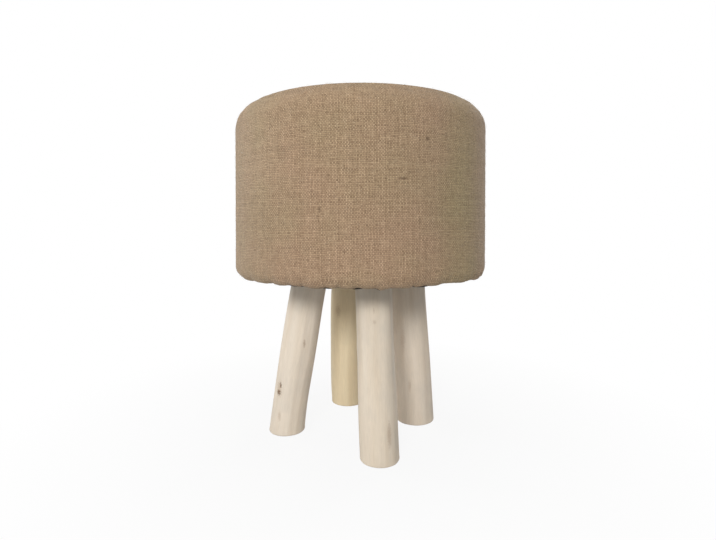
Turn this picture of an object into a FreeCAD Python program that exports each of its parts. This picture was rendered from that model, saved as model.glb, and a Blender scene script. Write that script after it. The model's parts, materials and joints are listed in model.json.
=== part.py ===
import FreeCAD, Part
import math
import os
import re
import Sketcher

# A round drum stool: a padded seat in a sewn jute cover on four peeled branch legs.
# Millimetres, +Z up. The origin lies on the floor, under the middle of the seat.
# The front leg points along -Y and the right leg along +X.

# Each leg's direction, in degrees about +Z from +X
LEG_TURNS = {"front": -90, "right": 0, "back": 90, "left": 180}

# Driving dimensions
SIZES = {
    # Seat, outside
    "seat_diameter": 310,
    "crown_lift": 7.5,
    "shoulder_radius": 30,
    "seam_turn_share": 0.77,
    "hem_edge_radius": 12,
    "hem_width": 37,
    # Soft layers
    "jute_thickness": 1.2,
    "wadding_thickness": 5,
    "foam_thickness": 45,
    "layer_clearance": 0.2,
    # Carcass
    "base_board_thickness": 15,
    "top_board_thickness": 12,
    "board_edge_radius": 3,
    "post_length": 135,
    "post_width": 25,
    "post_inset": 33,
    "wall_thickness": 3,
    "wall_fit": 0.1,
    "wall_lift": 3,
    "wall_joint_gap": 2,
    # Dust cover under the seat
    "dust_cover_thickness": 0.8,
    "dust_cover_inset": 14,
    "dust_step_width": 5,
    "dust_hem_clearance": 1,
    # Legs
    "leg_length": 198,
    "foot_edge_radius": 3.5,
    "front_foot_spread": 31,
    "front_foot_aside": -1,
    "front_foot_diameter": 43.8,
    "front_top_diameter": 42.4,
    "right_foot_spread": 11.5,
    "right_foot_aside": -0.6,
    "right_foot_diameter": 49,
    "right_top_diameter": 44.8,
    "back_foot_spread": 19.2,
    "back_foot_aside": -1.6,
    "back_foot_diameter": 47,
    "back_top_diameter": 47.8,
    "left_foot_spread": 31.1,
    "left_foot_aside": -7.2,
    "left_foot_diameter": 43.4,
    "left_top_diameter": 45,
    # Hanger bolts and their T-nuts
    "bolt_inset": 82.3,
    "bolt_diameter": 8,
    "bolt_proud": 4,
    "lag_diameter": 7,
    "lag_length": 36,
    "lag_tip_length": 5,
    "tnut_flange_diameter": 22,
    "tnut_flange_thickness": 1.6,
    "tnut_barrel_diameter": 10,
    "tnut_barrel_length": 11,
    "tnut_prong_length": 6,
    "tnut_prong_width": 3,
    "tnut_prong_thickness": 1.4,
    # Post screws
    "screw_length": 40,
    "screw_diameter": 4,
    "screw_head_diameter": 8,
    "screw_head_height": 2.5,
    "screw_tip_length": 4,
    # Pins that hold the wall to the boards
    "pin_length": 16,
    "pin_diameter": 1.6,
    "pin_head_diameter": 3.4,
    "pin_head_thickness": 0.6,
    "pin_tip_length": 2,
    "pin_height_share": 0.6,
    # Staples
    "staple_crown": 10,
    "staple_wire_thickness": 0.6,
    "staple_wire_width": 1.2,
    "staple_leg_length": 8,
    "cover_staple_inset": 10,
    "dust_staple_inset": 6,
    # Counts
    "leg_count": len(LEG_TURNS),
    "pin_count": 12,
    "cover_staple_count": 24,
    "dust_staple_count": 16,
}

# Sizes and heights that follow from the driving dimensions
PLACES = {
    "seat_radius": "seat_diameter / 2",
    "board_underside": "leg_length + dust_cover_thickness",
    "lower_pin_height": "board_underside + base_board_thickness * pin_height_share",
    "hem_underside": "board_underside - jute_thickness",
    "board_top": "board_underside + base_board_thickness",
    "post_top": "board_top + post_length",
    "upper_pin_height": "post_top + top_board_thickness * pin_height_share",
    "foam_underside": "post_top + top_board_thickness",
    "foam_top": "foam_underside + foam_thickness",
    # Depths are measured square to the outside of the jute
    "wadding_depth": "jute_thickness + layer_clearance",
    "wadding_back": "wadding_depth + wadding_thickness",
    "foam_depth": "wadding_back + layer_clearance",
    "seat_top": "foam_top + foam_depth",
    "shoulder_height": "seat_top - crown_lift - shoulder_radius",
    "shoulder_centre": "seat_radius - shoulder_radius",
    # The crown is one arc about the seat's axis that meets the shoulder arc without a corner
    "crown_radius": "shoulder_centre ^ 2 / (2 * crown_lift) + shoulder_radius + crown_lift / 2",
    "crown_end_sine": "shoulder_centre / (crown_radius - shoulder_radius)",
    "crown_end_cosine": "sqrt(1 - crown_end_sine ^ 2)",
    # The seam lies a share of the way round the shoulder, from the side towards the crown
    "seam_turn": "seam_turn_share * acos(crown_end_sine)",
    "seam_sine": "cos(seam_turn)",
    "seam_cosine": "sin(seam_turn)",
    "hem_edge_centre": "seat_radius - hem_edge_radius",
    "hem_edge_height": "hem_underside + hem_edge_radius",
    "wall_outer_radius": "seat_radius - foam_depth",
    "wall_inner_radius": "wall_outer_radius - wall_thickness",
    "board_radius": "wall_inner_radius - wall_fit",
    "bolt_circle_radius": "board_radius - bolt_inset",
    "post_circle_radius": "board_radius - post_inset - post_width / 2",
    "hem_inner_radius": "seat_radius - hem_width",
    "cover_staple_radius": "hem_inner_radius + cover_staple_inset",
    "dust_cover_radius": "seat_radius - dust_cover_inset",
    "dust_staple_radius": "dust_cover_radius - dust_staple_inset",
    "dust_ring_radius": "hem_inner_radius - dust_hem_clearance",
    "dust_centre_radius": "dust_ring_radius - dust_step_width",
    "dust_ring_underside": "hem_underside - dust_cover_thickness",
}

FULL_TURN = 360

doc = FreeCAD.newDocument("jute_stool")
sheets = {}
home_sheet = {}
pieces = []


def bound(rule):
    """Turns a rule in the sheets' own words into an expression that names their cells."""
    def cell(word):
        name = word.group()
        return home_sheet[name] + "." + name if name in home_sheet else name
    return re.sub(r"[a-z]\w*", cell, rule)


def value(rule):
    """The number that a rule gives now."""
    return float(sheets["place"].evalExpression(bound(rule)))


def fill_sheets():
    for sheet_name, rows in (("size", SIZES), ("place", PLACES)):
        sheet = doc.addObject("Spreadsheet::Sheet", sheet_name)
        sheets[sheet_name] = sheet
        for row, (name, content) in enumerate(rows.items(), start=1):
            home_sheet[name] = sheet_name
            sheet.set("A" + str(row), name)
            sheet.set("B" + str(row), "=" + bound(content) if isinstance(content, str) else str(content))
            sheet.setAlias("B" + str(row), name)
        doc.recompute()


def origin_part(body, role):
    return next(part for part in body.Origin.OriginFeatures if part.Role == role)


def new_body(label, turn=0):
    """A body turned about the seat's axis by so many degrees."""
    body = doc.addObject("PartDesign::Body", label)
    body.Label = label
    body.Placement = FreeCAD.Placement(FreeCAD.Vector(), FreeCAD.Rotation(FreeCAD.Vector(0, 0, 1), turn))
    return body


def new_sketch(body, name, plane, across=None, up=None, out=None):
    """A sketch on an origin plane, shifted along its own axes by rules."""
    sketch = body.newObject("Sketcher::SketchObject", body.Name + "_" + name)
    sketch.AttachmentSupport = [(origin_part(body, plane), "")]
    sketch.MapMode = "FlatFace"
    for direction, rule in (("x", across), ("y", up), ("z", out)):
        if rule:
            sketch.setExpression("AttachmentOffset.Base." + direction, bound(rule))
    return sketch


def hold_coordinate(sketch, edge, end, kind, axis, rule):
    """Ties one coordinate of a point to a rule, or to the sketch's axis where the rule is zero."""
    if rule == "0":
        sketch.addConstraint(Sketcher.Constraint("PointOnObject", edge, end, axis))
        return
    number = sketch.addConstraint(Sketcher.Constraint(kind, -1, 1, edge, end, value(rule)))
    sketch.setExpression("Constraints[" + str(number) + "]", bound(rule))


def add_outline(sketch, corners):
    """Draws a closed outline. A corner is (x, y) where a line leaves it, and
    (x, y, radius, "left" or "right") where an arc leaves it and turns that way."""
    points = [FreeCAD.Vector(value(corner[0]), value(corner[1]), 0) for corner in corners]
    edges = []
    for index, corner in enumerate(corners):
        here = points[index]
        there = points[(index + 1) % len(corners)]
        if len(corner) == 2:
            edges.append((sketch.addGeometry(Part.LineSegment(here, there), False), 1, 2))
            continue
        radius = value(corner[2])
        first, last = (here, there) if corner[3] == "left" else (there, here)
        chord = last - first
        rise = math.sqrt(radius ** 2 - (chord.Length / 2) ** 2)
        centre = (first + last) / 2 + FreeCAD.Vector(-chord.y, chord.x, 0) * (rise / chord.Length)
        start = math.atan2(first.y - centre.y, first.x - centre.x)
        end = math.atan2(last.y - centre.y, last.x - centre.x)
        circle = Part.Circle(centre, FreeCAD.Vector(0, 0, 1), radius)
        arc = sketch.addGeometry(Part.ArcOfCircle(circle, start, end), False)
        edges.append((arc, 1, 2) if corner[3] == "left" else (arc, 2, 1))
    for index, corner in enumerate(corners):
        edge, leaving, arriving = edges[index]
        next_edge, next_leaving, _ = edges[(index + 1) % len(corners)]
        sketch.addConstraint(Sketcher.Constraint("Coincident", edge, arriving, next_edge, next_leaving))
        hold_coordinate(sketch, edge, leaving, "DistanceX", -2, corner[0])
        hold_coordinate(sketch, edge, leaving, "DistanceY", -1, corner[1])
        if len(corner) == 4:
            number = sketch.addConstraint(Sketcher.Constraint("Radius", edge, value(corner[2])))
            sketch.setExpression("Constraints[" + str(number) + "]", bound(corner[2]))


def add_circle(sketch, radius):
    """A circle about the sketch's own origin."""
    circle = Part.Circle(FreeCAD.Vector(), FreeCAD.Vector(0, 0, 1), value(radius))
    edge = sketch.addGeometry(circle, False)
    sketch.addConstraint(Sketcher.Constraint("Coincident", edge, 3, -1, 1))
    number = sketch.addConstraint(Sketcher.Constraint("Radius", edge, value(radius)))
    sketch.setExpression("Constraints[" + str(number) + "]", bound(radius))


def revolve(body, sketch, axis=None, angle=None):
    """Turns a sketch about the seat's axis, or about an axis of the sketch itself."""
    feature = body.newObject("PartDesign::Revolution", sketch.Name + "_turned")
    feature.Profile = sketch
    feature.ReferenceAxis = (sketch, [axis]) if axis else (origin_part(body, "Z_Axis"), [""])
    if angle:
        feature.setExpression("Angle", bound(angle))
    else:
        feature.Angle = FULL_TURN
    sketch.Visibility = False
    return feature


def extrude(body, sketch, length):
    feature = body.newObject("PartDesign::Pad", sketch.Name + "_pad")
    feature.Profile = sketch
    feature.setExpression("Length", bound(length))
    sketch.Visibility = False
    return feature


def repeat(body, features, count):
    """Spaces copies of features evenly about the seat's axis."""
    pattern = body.newObject("PartDesign::PolarPattern", body.Name + "_pattern")
    pattern.Originals = features
    pattern.Axis = (origin_part(body, "Z_Axis"), [""])
    pattern.Angle = FULL_TURN
    pattern.setExpression("Occurrences", bound(count))
    body.Tip = pattern
    return pattern


def cut(label, blank, cutters):
    """The blank with the seats of its fasteners taken out, each exactly as large as the fastener."""
    tools = cutters[0]
    if len(cutters) > 1:
        tools = doc.addObject("Part::Compound", label + "_cutters")
        tools.Links = cutters
    result = doc.addObject("Part::Cut", label)
    result.Base = blank
    result.Tool = tools
    result.Label = label
    return result


def keep(piece):
    """Marks an object as a finished piece of the stool, written out under its label."""
    pieces.append(piece)
    return piece


def crown_corner(depth):
    """Where crown and shoulder meet, at a depth under the outside."""
    reach = "(crown_radius - (" + depth + ")) * "
    return reach + "crown_end_sine", "seat_top - crown_radius + " + reach + "crown_end_cosine"


def seam_corner(depth):
    """A point of the sewn seam, at a depth under the outside."""
    reach = "(shoulder_radius - (" + depth + ")) * "
    return "shoulder_centre + " + reach + "seam_sine", "shoulder_height + " + reach + "seam_cosine"


def make_top_layer(label, outer, inner):
    """A domed disc between two depths, from the seat's axis out to the seam."""
    body = new_body(label)
    sketch = new_sketch(body, "section", "XZ_Plane")
    add_outline(sketch, [
        ("0", "seat_top - (" + inner + ")"),
        ("0", "seat_top - (" + outer + ")", "crown_radius - (" + outer + ")", "right"),
        crown_corner(outer) + ("shoulder_radius - (" + outer + ")", "right"),
        seam_corner(outer),
        seam_corner(inner) + ("shoulder_radius - (" + inner + ")", "left"),
        crown_corner(inner) + ("crown_radius - (" + inner + ")", "left"),
    ])
    revolve(body, sketch)
    return body


def make_side_wadding():
    body = new_body("side_wadding")
    sketch = new_sketch(body, "section", "XZ_Plane")
    edge_radius = "hem_edge_radius - wadding_depth"
    inner_radius = "seat_radius - wadding_back"
    reach_in = "(" + inner_radius + " - hem_edge_centre)"
    foot = "hem_edge_height - sqrt((" + edge_radius + ") ^ 2 - " + reach_in + " ^ 2)"
    add_outline(sketch, [
        (inner_radius, foot, edge_radius, "left"),
        ("seat_radius - wadding_depth", "hem_edge_height"),
        ("seat_radius - wadding_depth", "shoulder_height", "shoulder_radius - wadding_depth", "left"),
        seam_corner("wadding_depth"),
        seam_corner("wadding_back") + ("shoulder_radius - wadding_back", "right"),
        (inner_radius, "shoulder_height"),
    ])
    revolve(body, sketch)
    return body


def make_side_band():
    """Jute from a hem turned in under the base board, up the side and over the shoulder to the seam."""
    body = new_body("jute_side_band_blank")
    sketch = new_sketch(body, "section", "XZ_Plane")
    inner = "jute_thickness"
    add_outline(sketch, [
        ("hem_inner_radius", "hem_underside"),
        ("hem_edge_centre", "hem_underside", "hem_edge_radius", "left"),
        ("seat_radius", "hem_edge_height"),
        ("seat_radius", "shoulder_height", "shoulder_radius", "left"),
        seam_corner("0"),
        seam_corner(inner) + ("shoulder_radius - jute_thickness", "right"),
        ("seat_radius - jute_thickness", "shoulder_height"),
        ("seat_radius - jute_thickness", "hem_edge_height", "hem_edge_radius - jute_thickness", "right"),
        ("hem_edge_centre", "board_underside"),
        ("hem_inner_radius", "board_underside"),
    ])
    revolve(body, sketch)
    return body


def make_foam():
    body = new_body("seat_foam")
    sketch = new_sketch(body, "section", "XZ_Plane")
    add_outline(sketch, [
        ("0", "foam_underside"),
        ("wall_outer_radius", "foam_underside"),
        ("wall_outer_radius", "shoulder_height", "shoulder_radius - foam_depth", "left"),
        crown_corner("foam_depth") + ("crown_radius - foam_depth", "left"),
        ("0", "foam_top"),
    ])
    revolve(body, sketch)
    return body


def make_board(label, underside, thickness, rounded):
    """A plywood disc. The base board's lower edge is rounded, so that it doesn't cut the jute."""
    body = new_body(label)
    sketch = new_sketch(body, "section", "XZ_Plane")
    top = underside + " + " + thickness
    corners = [("0", underside)]
    if rounded:
        corners.append(("board_radius - board_edge_radius", underside, "board_edge_radius", "left"))
        corners.append(("board_radius", underside + " + board_edge_radius"))
    else:
        corners.append(("board_radius", underside))
    corners += [("board_radius", top), ("0", top)]
    add_outline(sketch, corners)
    revolve(body, sketch)
    return body


def make_base_board_blank():
    body = make_board("base_board_blank", "board_underside", "base_board_thickness", True)
    doc.recompute()
    sketch = new_sketch(body, "bolt_hole", "XY_Plane", across="bolt_circle_radius", out="board_top")
    add_circle(sketch, "tnut_barrel_diameter / 2")
    pocket = body.newObject("PartDesign::Pocket", "bolt_hole_pocket")
    pocket.Profile = sketch
    pocket.setExpression("Length", bound("base_board_thickness"))
    sketch.Visibility = False
    repeat(body, [pocket], "leg_count")
    return body


def make_wall_blank():
    """A hardboard strip bent round both boards. Its ends meet at the back with a small gap."""
    body = new_body("drum_wall_blank", turn=LEG_TURNS["back"])
    sketch = new_sketch(body, "section", "XZ_Plane")
    foot = "board_underside + wall_lift"
    add_outline(sketch, [
        ("wall_inner_radius", foot),
        ("wall_outer_radius", foot),
        ("wall_outer_radius", "foam_underside"),
        ("wall_inner_radius", "foam_underside"),
    ])
    revolve(body, sketch, angle="360 - 180 / pi * wall_joint_gap / wall_outer_radius")
    return body


def make_dust_cover_blank():
    """Black nonwoven: flat under the board, and a step lower where it covers the turned-in hem."""
    body = new_body("dust_cover_blank")
    sketch = new_sketch(body, "section", "XZ_Plane")
    add_outline(sketch, [
        ("0", "leg_length"),
        ("dust_centre_radius", "leg_length"),
        ("dust_ring_radius", "dust_ring_underside"),
        ("dust_cover_radius", "dust_ring_underside"),
        ("dust_cover_radius", "hem_underside"),
        ("dust_ring_radius", "hem_underside"),
        ("dust_centre_radius", "board_underside"),
        ("0", "board_underside"),
    ])
    revolve(body, sketch)
    return body


def post_turn(number):
    return (number + 1 / 2) * FULL_TURN / SIZES["leg_count"]


def make_post_blank(number):
    """An upright of sawn wood between the boards, midway between two legs."""
    body = new_body("post_" + str(number + 1) + "_blank", turn=post_turn(number))
    sketch = new_sketch(
        body, "section", "XY_Plane",
        across="post_circle_radius - post_width / 2", up="-post_width / 2", out="board_top",
    )
    add_outline(sketch, [("0", "0"), ("post_width", "0"), ("post_width", "post_width"), ("0", "post_width")])
    extrude(body, sketch, "post_length")
    return body


def make_post_screws(label, head, direction):
    """Countersunk screws through a board into the posts, driven up (+1) or down (-1) from the head."""
    body = new_body(label, turn=post_turn(0))
    sketch = new_sketch(body, "section", "XZ_Plane", across="post_circle_radius")
    way = " + " if direction > 0 else " - "
    corners = [
        ("0", head),
        ("screw_head_diameter / 2", head),
        ("screw_diameter / 2", head + way + "screw_head_height"),
        ("screw_diameter / 2", head + way + "(screw_length - screw_tip_length)"),
        ("0", head + way + "screw_length"),
    ]
    add_outline(sketch, corners if direction > 0 else corners[::-1])
    repeat(body, [revolve(body, sketch, axis="V_Axis")], "leg_count")
    return body


def make_pins(label, height):
    """Headed pins driven through the wall into a board's edge, heads flush with the wall.
    They start half a spacing off, which leaves the wall's joint clear."""
    body = new_body(label, turn=FULL_TURN / SIZES["pin_count"] / 2)
    sketch = new_sketch(body, "section", "XZ_Plane", up=height)
    shank = "pin_diameter / 2"
    head = "pin_head_diameter / 2"
    add_outline(sketch, [
        ("wall_outer_radius - pin_length", "0"),
        ("wall_outer_radius", "0"),
        ("wall_outer_radius", head),
        ("wall_outer_radius - pin_head_thickness", head),
        ("wall_outer_radius - pin_head_thickness", shank),
        ("wall_outer_radius - pin_length + pin_tip_length", shank),
    ])
    repeat(body, [revolve(body, sketch, axis="H_Axis")], "pin_count")
    return body


def make_staples(label, ring_radius, crown_underside, count):
    """Staples driven up into the base board, their crowns along the edge."""
    body = new_body(label)
    sketch = new_sketch(
        body, "section", "YZ_Plane",
        across="-staple_crown / 2", up=crown_underside, out=ring_radius + " - staple_wire_width / 2",
    )
    wire = "staple_wire_thickness"
    add_outline(sketch, [
        ("0", "0"),
        ("staple_crown", "0"),
        ("staple_crown", "staple_leg_length"),
        ("staple_crown - " + wire, "staple_leg_length"),
        ("staple_crown - " + wire, wire),
        (wire, wire),
        (wire, "staple_leg_length"),
        ("0", "staple_leg_length"),
    ])
    repeat(body, [extrude(body, sketch, "staple_wire_width")], count)
    return body


def make_tnuts():
    """Pronged nuts pressed into the base board from above, one over each leg."""
    body = new_body("t_nuts")
    ring = new_sketch(body, "ring", "XZ_Plane", across="bolt_circle_radius")
    flange_top = "board_top + tnut_flange_thickness"
    add_outline(ring, [
        ("bolt_diameter / 2", "board_top - tnut_barrel_length"),
        ("tnut_barrel_diameter / 2", "board_top - tnut_barrel_length"),
        ("tnut_barrel_diameter / 2", "board_top"),
        ("tnut_flange_diameter / 2", "board_top"),
        ("tnut_flange_diameter / 2", flange_top),
        ("bolt_diameter / 2", flange_top),
    ])
    turned = revolve(body, ring, axis="V_Axis")
    # Four prongs, each its own thickness inside the flange's rim, measured from a square round the flange
    middle = "tnut_flange_diameter / 2"
    prongs = new_sketch(
        body, "prongs", "XY_Plane",
        across="bolt_circle_radius - " + middle, up="-" + middle, out="board_top - tnut_prong_length",
    )
    near_side = ("tnut_prong_thickness", "2 * tnut_prong_thickness")
    far_side = tuple("tnut_flange_diameter - " + rule for rule in near_side[::-1])
    left = middle + " - tnut_prong_width / 2"
    right = middle + " + tnut_prong_width / 2"
    for low, high in (near_side, far_side):
        add_outline(prongs, [(low, left), (high, left), (high, right), (low, right)])
        add_outline(prongs, [(left, low), (right, low), (right, high), (left, high)])
    pad = extrude(body, prongs, "tnut_prong_length + tnut_flange_thickness / 2")
    repeat(body, [turned, pad], "leg_count")
    return body


def make_hanger_bolts():
    """Bolts with a wood thread down in the leg and a machine thread up through the T-nut."""
    body = new_body("hanger_bolts")
    sketch = new_sketch(body, "section", "XZ_Plane", across="bolt_circle_radius")
    bolt_top = "board_top + tnut_flange_thickness + bolt_proud"
    add_outline(sketch, [
        ("0", "leg_length - lag_length"),
        ("lag_diameter / 2", "leg_length - lag_length + lag_tip_length"),
        ("lag_diameter / 2", "leg_length"),
        ("bolt_diameter / 2", "leg_length"),
        ("bolt_diameter / 2", bolt_top),
        ("0", bolt_top),
    ])
    repeat(body, [revolve(body, sketch, axis="V_Axis")], "leg_count")
    return body


def make_leg_blank(side):
    """A peeled branch: a round foot and a round top, both level, joined straight, so it leans outwards."""
    body = new_body("leg_" + side + "_blank", turn=LEG_TURNS[side])
    reach = "bolt_circle_radius + " + side + "_foot_spread"
    foot = new_sketch(body, "foot", "XY_Plane", across=reach, up=side + "_foot_aside")
    add_circle(foot, side + "_foot_diameter / 2")
    top = new_sketch(body, "top", "XY_Plane", across="bolt_circle_radius", out="leg_length")
    add_circle(top, side + "_top_diameter / 2")
    trunk = body.newObject("PartDesign::AdditiveLoft", body.Name + "_trunk")
    trunk.Profile = top
    trunk.Sections = [foot]
    trunk.Ruled = True
    foot.Visibility = False
    top.Visibility = False
    doc.recompute()
    floor_edges = [
        "Edge" + str(index)
        for index, edge in enumerate(trunk.Shape.Edges, start=1)
        if edge.BoundBox.ZMax < value("foot_edge_radius")
    ]
    rounding = body.newObject("PartDesign::Fillet", body.Name + "_rounding")
    rounding.Base = (trunk, floor_edges)
    rounding.setExpression("Radius", bound("foot_edge_radius"))
    body.Tip = rounding
    return body


def make_stool():
    fill_sheets()

    hanger_bolts = keep(make_hanger_bolts())
    tnuts = keep(make_tnuts())
    screws_below = keep(make_post_screws("post_screws_lower", "board_underside", 1))
    screws_above = keep(make_post_screws("post_screws_upper", "foam_underside", -1))
    pins_below = keep(make_pins("wall_pins_lower", "lower_pin_height"))
    pins_above = keep(make_pins("wall_pins_upper", "upper_pin_height"))
    cover_staples = keep(make_staples(
        "cover_staples", "cover_staple_radius", "hem_underside", "cover_staple_count"))
    dust_staples = keep(make_staples(
        "dust_cover_staples", "dust_staple_radius", "dust_ring_underside - staple_wire_thickness",
        "dust_staple_count"))
    doc.recompute()

    for side in LEG_TURNS:
        keep(cut("leg_" + side, make_leg_blank(side), [hanger_bolts]))
    keep(cut("base_board", make_base_board_blank(),
             [tnuts, screws_below, pins_below, cover_staples, dust_staples]))
    top_board = make_board("top_board_blank", "post_top", "top_board_thickness", False)
    keep(cut("top_board", top_board, [screws_above, pins_above]))
    for number in range(SIZES["leg_count"]):
        label = "post_" + str(number + 1)
        keep(cut(label, make_post_blank(number), [screws_below, screws_above]))
    keep(cut("drum_wall", make_wall_blank(), [pins_below, pins_above]))
    keep(cut("dust_cover", make_dust_cover_blank(), [hanger_bolts, dust_staples]))
    keep(cut("jute_side_band", make_side_band(), [cover_staples, dust_staples]))
    keep(make_top_layer("jute_top_panel", "0", "jute_thickness"))
    keep(make_side_wadding())
    keep(make_top_layer("top_wadding", "wadding_depth", "wadding_back"))
    keep(make_foam())
    doc.recompute()


def check_stool():
    """Stops before anything is written if an object failed or a piece has no good shape."""
    for item in doc.Objects:
        if "Invalid" in item.State or "Error" in item.State:
            raise RuntimeError(item.Label + " failed: " + str(item.State))
    for piece in pieces:
        if piece.Shape.isNull() or not piece.Shape.isValid() or not piece.Shape.Solids:
            raise RuntimeError(piece.Label + " has no valid solid")


def write_stool():
    os.makedirs("parts", exist_ok=True)
    for piece in pieces:
        piece.Shape.exportStep("parts/" + piece.Label + ".step")
        box = piece.Shape.BoundBox
        print(
            piece.Label, len(piece.Shape.Solids), "solids,", round(piece.Shape.Volume), "mm3,",
            "z", round(box.ZMin, 2), "to", round(box.ZMax, 2),
        )


make_stool()
check_stool()
write_stool()
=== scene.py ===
import json
import math

import bpy
import numpy as np
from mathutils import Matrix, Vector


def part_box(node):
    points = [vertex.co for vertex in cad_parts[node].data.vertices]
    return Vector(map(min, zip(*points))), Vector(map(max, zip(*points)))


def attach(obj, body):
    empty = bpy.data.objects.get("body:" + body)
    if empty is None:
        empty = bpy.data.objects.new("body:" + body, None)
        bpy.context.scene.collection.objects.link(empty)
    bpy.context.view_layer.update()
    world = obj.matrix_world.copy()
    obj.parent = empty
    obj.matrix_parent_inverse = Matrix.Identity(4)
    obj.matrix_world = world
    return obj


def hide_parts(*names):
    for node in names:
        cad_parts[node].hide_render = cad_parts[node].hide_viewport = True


# A round jute drum stool on four peeled branch legs. Metres, +Z up, the floor at zero.

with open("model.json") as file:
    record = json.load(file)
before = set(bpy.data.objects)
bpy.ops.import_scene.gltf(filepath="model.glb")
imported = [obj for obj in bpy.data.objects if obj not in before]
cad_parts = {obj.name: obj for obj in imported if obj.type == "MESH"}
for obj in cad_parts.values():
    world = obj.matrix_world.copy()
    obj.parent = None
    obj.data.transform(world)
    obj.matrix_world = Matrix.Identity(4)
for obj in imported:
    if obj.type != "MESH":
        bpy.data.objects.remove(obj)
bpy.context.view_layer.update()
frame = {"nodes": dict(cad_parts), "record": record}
mm = 0.001
fullTurn = 2 * math.pi
legSides = ("front", "right", "back", "left")
scene = bpy.context.scene
print("frame loaded:", len(frame["nodes"]), "nodes")

# The picture is 716 pixels wide; the seat's axis stands a little right of its middle
cameraView = {
    "place": (-0.1483, -0.6020, 0.2652),
    "tiltFromStraightDown": 89.0,
    "turn": -13.84,
    "lens": {"lens": 24.25, "sensor_width": 36.0, "sensor_fit": "HORIZONTAL", "shift_x": -0.0034,
             "shift_y": -0.0598, "clip_start": 0.01},
}


def settle(thing, **values):
    for name, value in values.items():
        setattr(thing, name, value)
    return thing


def addObject(name, data):
    made = bpy.data.objects.new(name, data)
    scene.collection.objects.link(made)
    return made


def placeCamera():
    camera = addObject("view", settle(bpy.data.cameras.new("view"), **cameraView["lens"]))
    camera.location = cameraView["place"]
    camera.rotation_euler = np.radians((cameraView["tiltFromStraightDown"], 0, cameraView["turn"]))
    scene.camera = camera


# Meshes from grids of points

def buildMesh(name, vertices, faceSets):
    # A smooth mesh; each array of faces has its own number of corners
    corners = np.concatenate([faces.ravel() for faces in faceSets]).astype(np.int32)
    sizes = np.concatenate([np.full(len(faces), faces.shape[1]) for faces in faceSets])
    mesh = bpy.data.meshes.new(name)
    mesh.vertices.add(len(vertices))
    mesh.vertices.foreach_set("co", vertices.ravel().astype(np.float32))
    mesh.loops.add(len(corners))
    mesh.loops.foreach_set("vertex_index", corners)
    mesh.polygons.add(len(sizes))
    mesh.polygons.foreach_set("loop_start", (np.cumsum(sizes) - sizes).astype(np.int32))
    mesh.polygons.foreach_set("use_smooth", np.ones(len(sizes), bool))
    mesh.update(calc_edges=True)
    mesh.validate()
    return mesh


def gridFaces(rows, around, wide, ends=None):
    # Four-cornered faces between neighbouring rows and columns, where a row has so many points (wide).
    # A "loop" joins the last row to the first; "poles" close both ends with fans.
    row = np.arange(rows if ends == "loop" else rows - 1)[:, None] * wide
    column = np.arange(around)
    following = (column + 1) % wide
    above = (row + wide) % (rows * wide)
    quads = np.stack([row + column, row + following, above + following, above + column], -1)
    faces = [quads.reshape(-1, 4)]
    if ends == "poles":
        last, pole = (rows - 1) * wide, np.full(around, rows * wide)
        faces.append(np.stack([following, column, pole], -1))
        faces.append(np.stack([last + column, last + following, pole + 1], -1))
    return faces


def addPiece(name, mesh, material, replaced=None, sharpAngle=40):
    # A new piece of the stool: it rides on the one body and stands for the node that it replaces
    mesh.set_sharp_from_angle(angle=math.radians(sharpAngle))
    mesh.materials.append(material)
    piece = addObject(name, mesh)
    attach(piece, "root")
    if replaced:
        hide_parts(replaced)
    return piece


def addGrid(name, points, material, replaced, inner=None, flat=None, ends="poles", lastPole=None):
    # A piece whose points[row, around] climb its outside, after the inner ones in reverse. A pole lies in
    # the middle of its end row, or where lastPole says.
    if inner is not None:
        points = np.concatenate([inner[::-1], points])
    rows, around = points.shape[:2]
    vertices = points.reshape(-1, 3)
    if ends == "poles":
        lastPole = points[-1].mean(0) if lastPole is None else lastPole
        vertices = np.concatenate([vertices, [points[0].mean(0), lastPole]])
    mesh = buildMesh(name, vertices, gridFaces(rows, around, around, ends))
    if flat is not None:
        # The flat layout has one more column than the points, so that the cloth runs on over the join
        flat = np.concatenate([flat[::-1], flat])
        flat = np.concatenate([flat.reshape(-1, 2), flat[[0, -1], :-1].mean(1)])
        corners = np.concatenate([faces.ravel() for faces in gridFaces(rows, around, around + 1, ends)])
        mesh.uv_layers.new(name="cloth").data.foreach_set("uv", flat[corners].ravel().astype(np.float32))
    return addPiece(name, mesh, material, replaced)


def unit(vectors):
    return vectors / np.linalg.norm(vectors, axis=-1, keepdims=True)


def turnsRound(count, start=0):
    # Even turns all the way round in radians, from a start in degrees, as one row
    return np.linspace(0, fullTurn, count, endpoint=False)[None, :] + math.radians(start)


def swing(reach, height, turn):
    # Points at a reach from the upright axis and a height, at each turn about it
    return np.stack(np.broadcast_arrays(reach * np.cos(turn), reach * np.sin(turn), height), -1)


def addTubes(name, paths, radius, sides, material):
    # Thin round bars along paths[bar, station]: rings square to the path, both ends closed
    bars, stations = paths.shape[:2]
    way = unit(np.gradient(paths, axis=1))
    level = np.where(np.abs(way[:, :1, 2:]) > 0.8, (1.0, 0.0, 0.0), (0.0, 0.0, 1.0))
    aside = unit(np.cross(way, level))
    upwards = np.cross(way, aside)
    turn = turnsRound(sides).T
    spokes = aside[:, :, None] * np.cos(turn) + upwards[:, :, None] * np.sin(turn)
    first = (np.arange(bars) * stations * sides)[:, None]
    quads = (first[:, None] + gridFaces(stations, sides, sides)[0]).reshape(-1, 4)
    nearEnd = first + np.arange(sides)[::-1]
    farEnd = first + np.arange(sides) + (stations - 1) * sides
    mesh = buildMesh(name, (paths[:, :, None] + radius * spokes).reshape(-1, 3), [quads, nearEnd, farEnd])
    return addPiece(name, mesh, material, sharpAngle=70)


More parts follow.
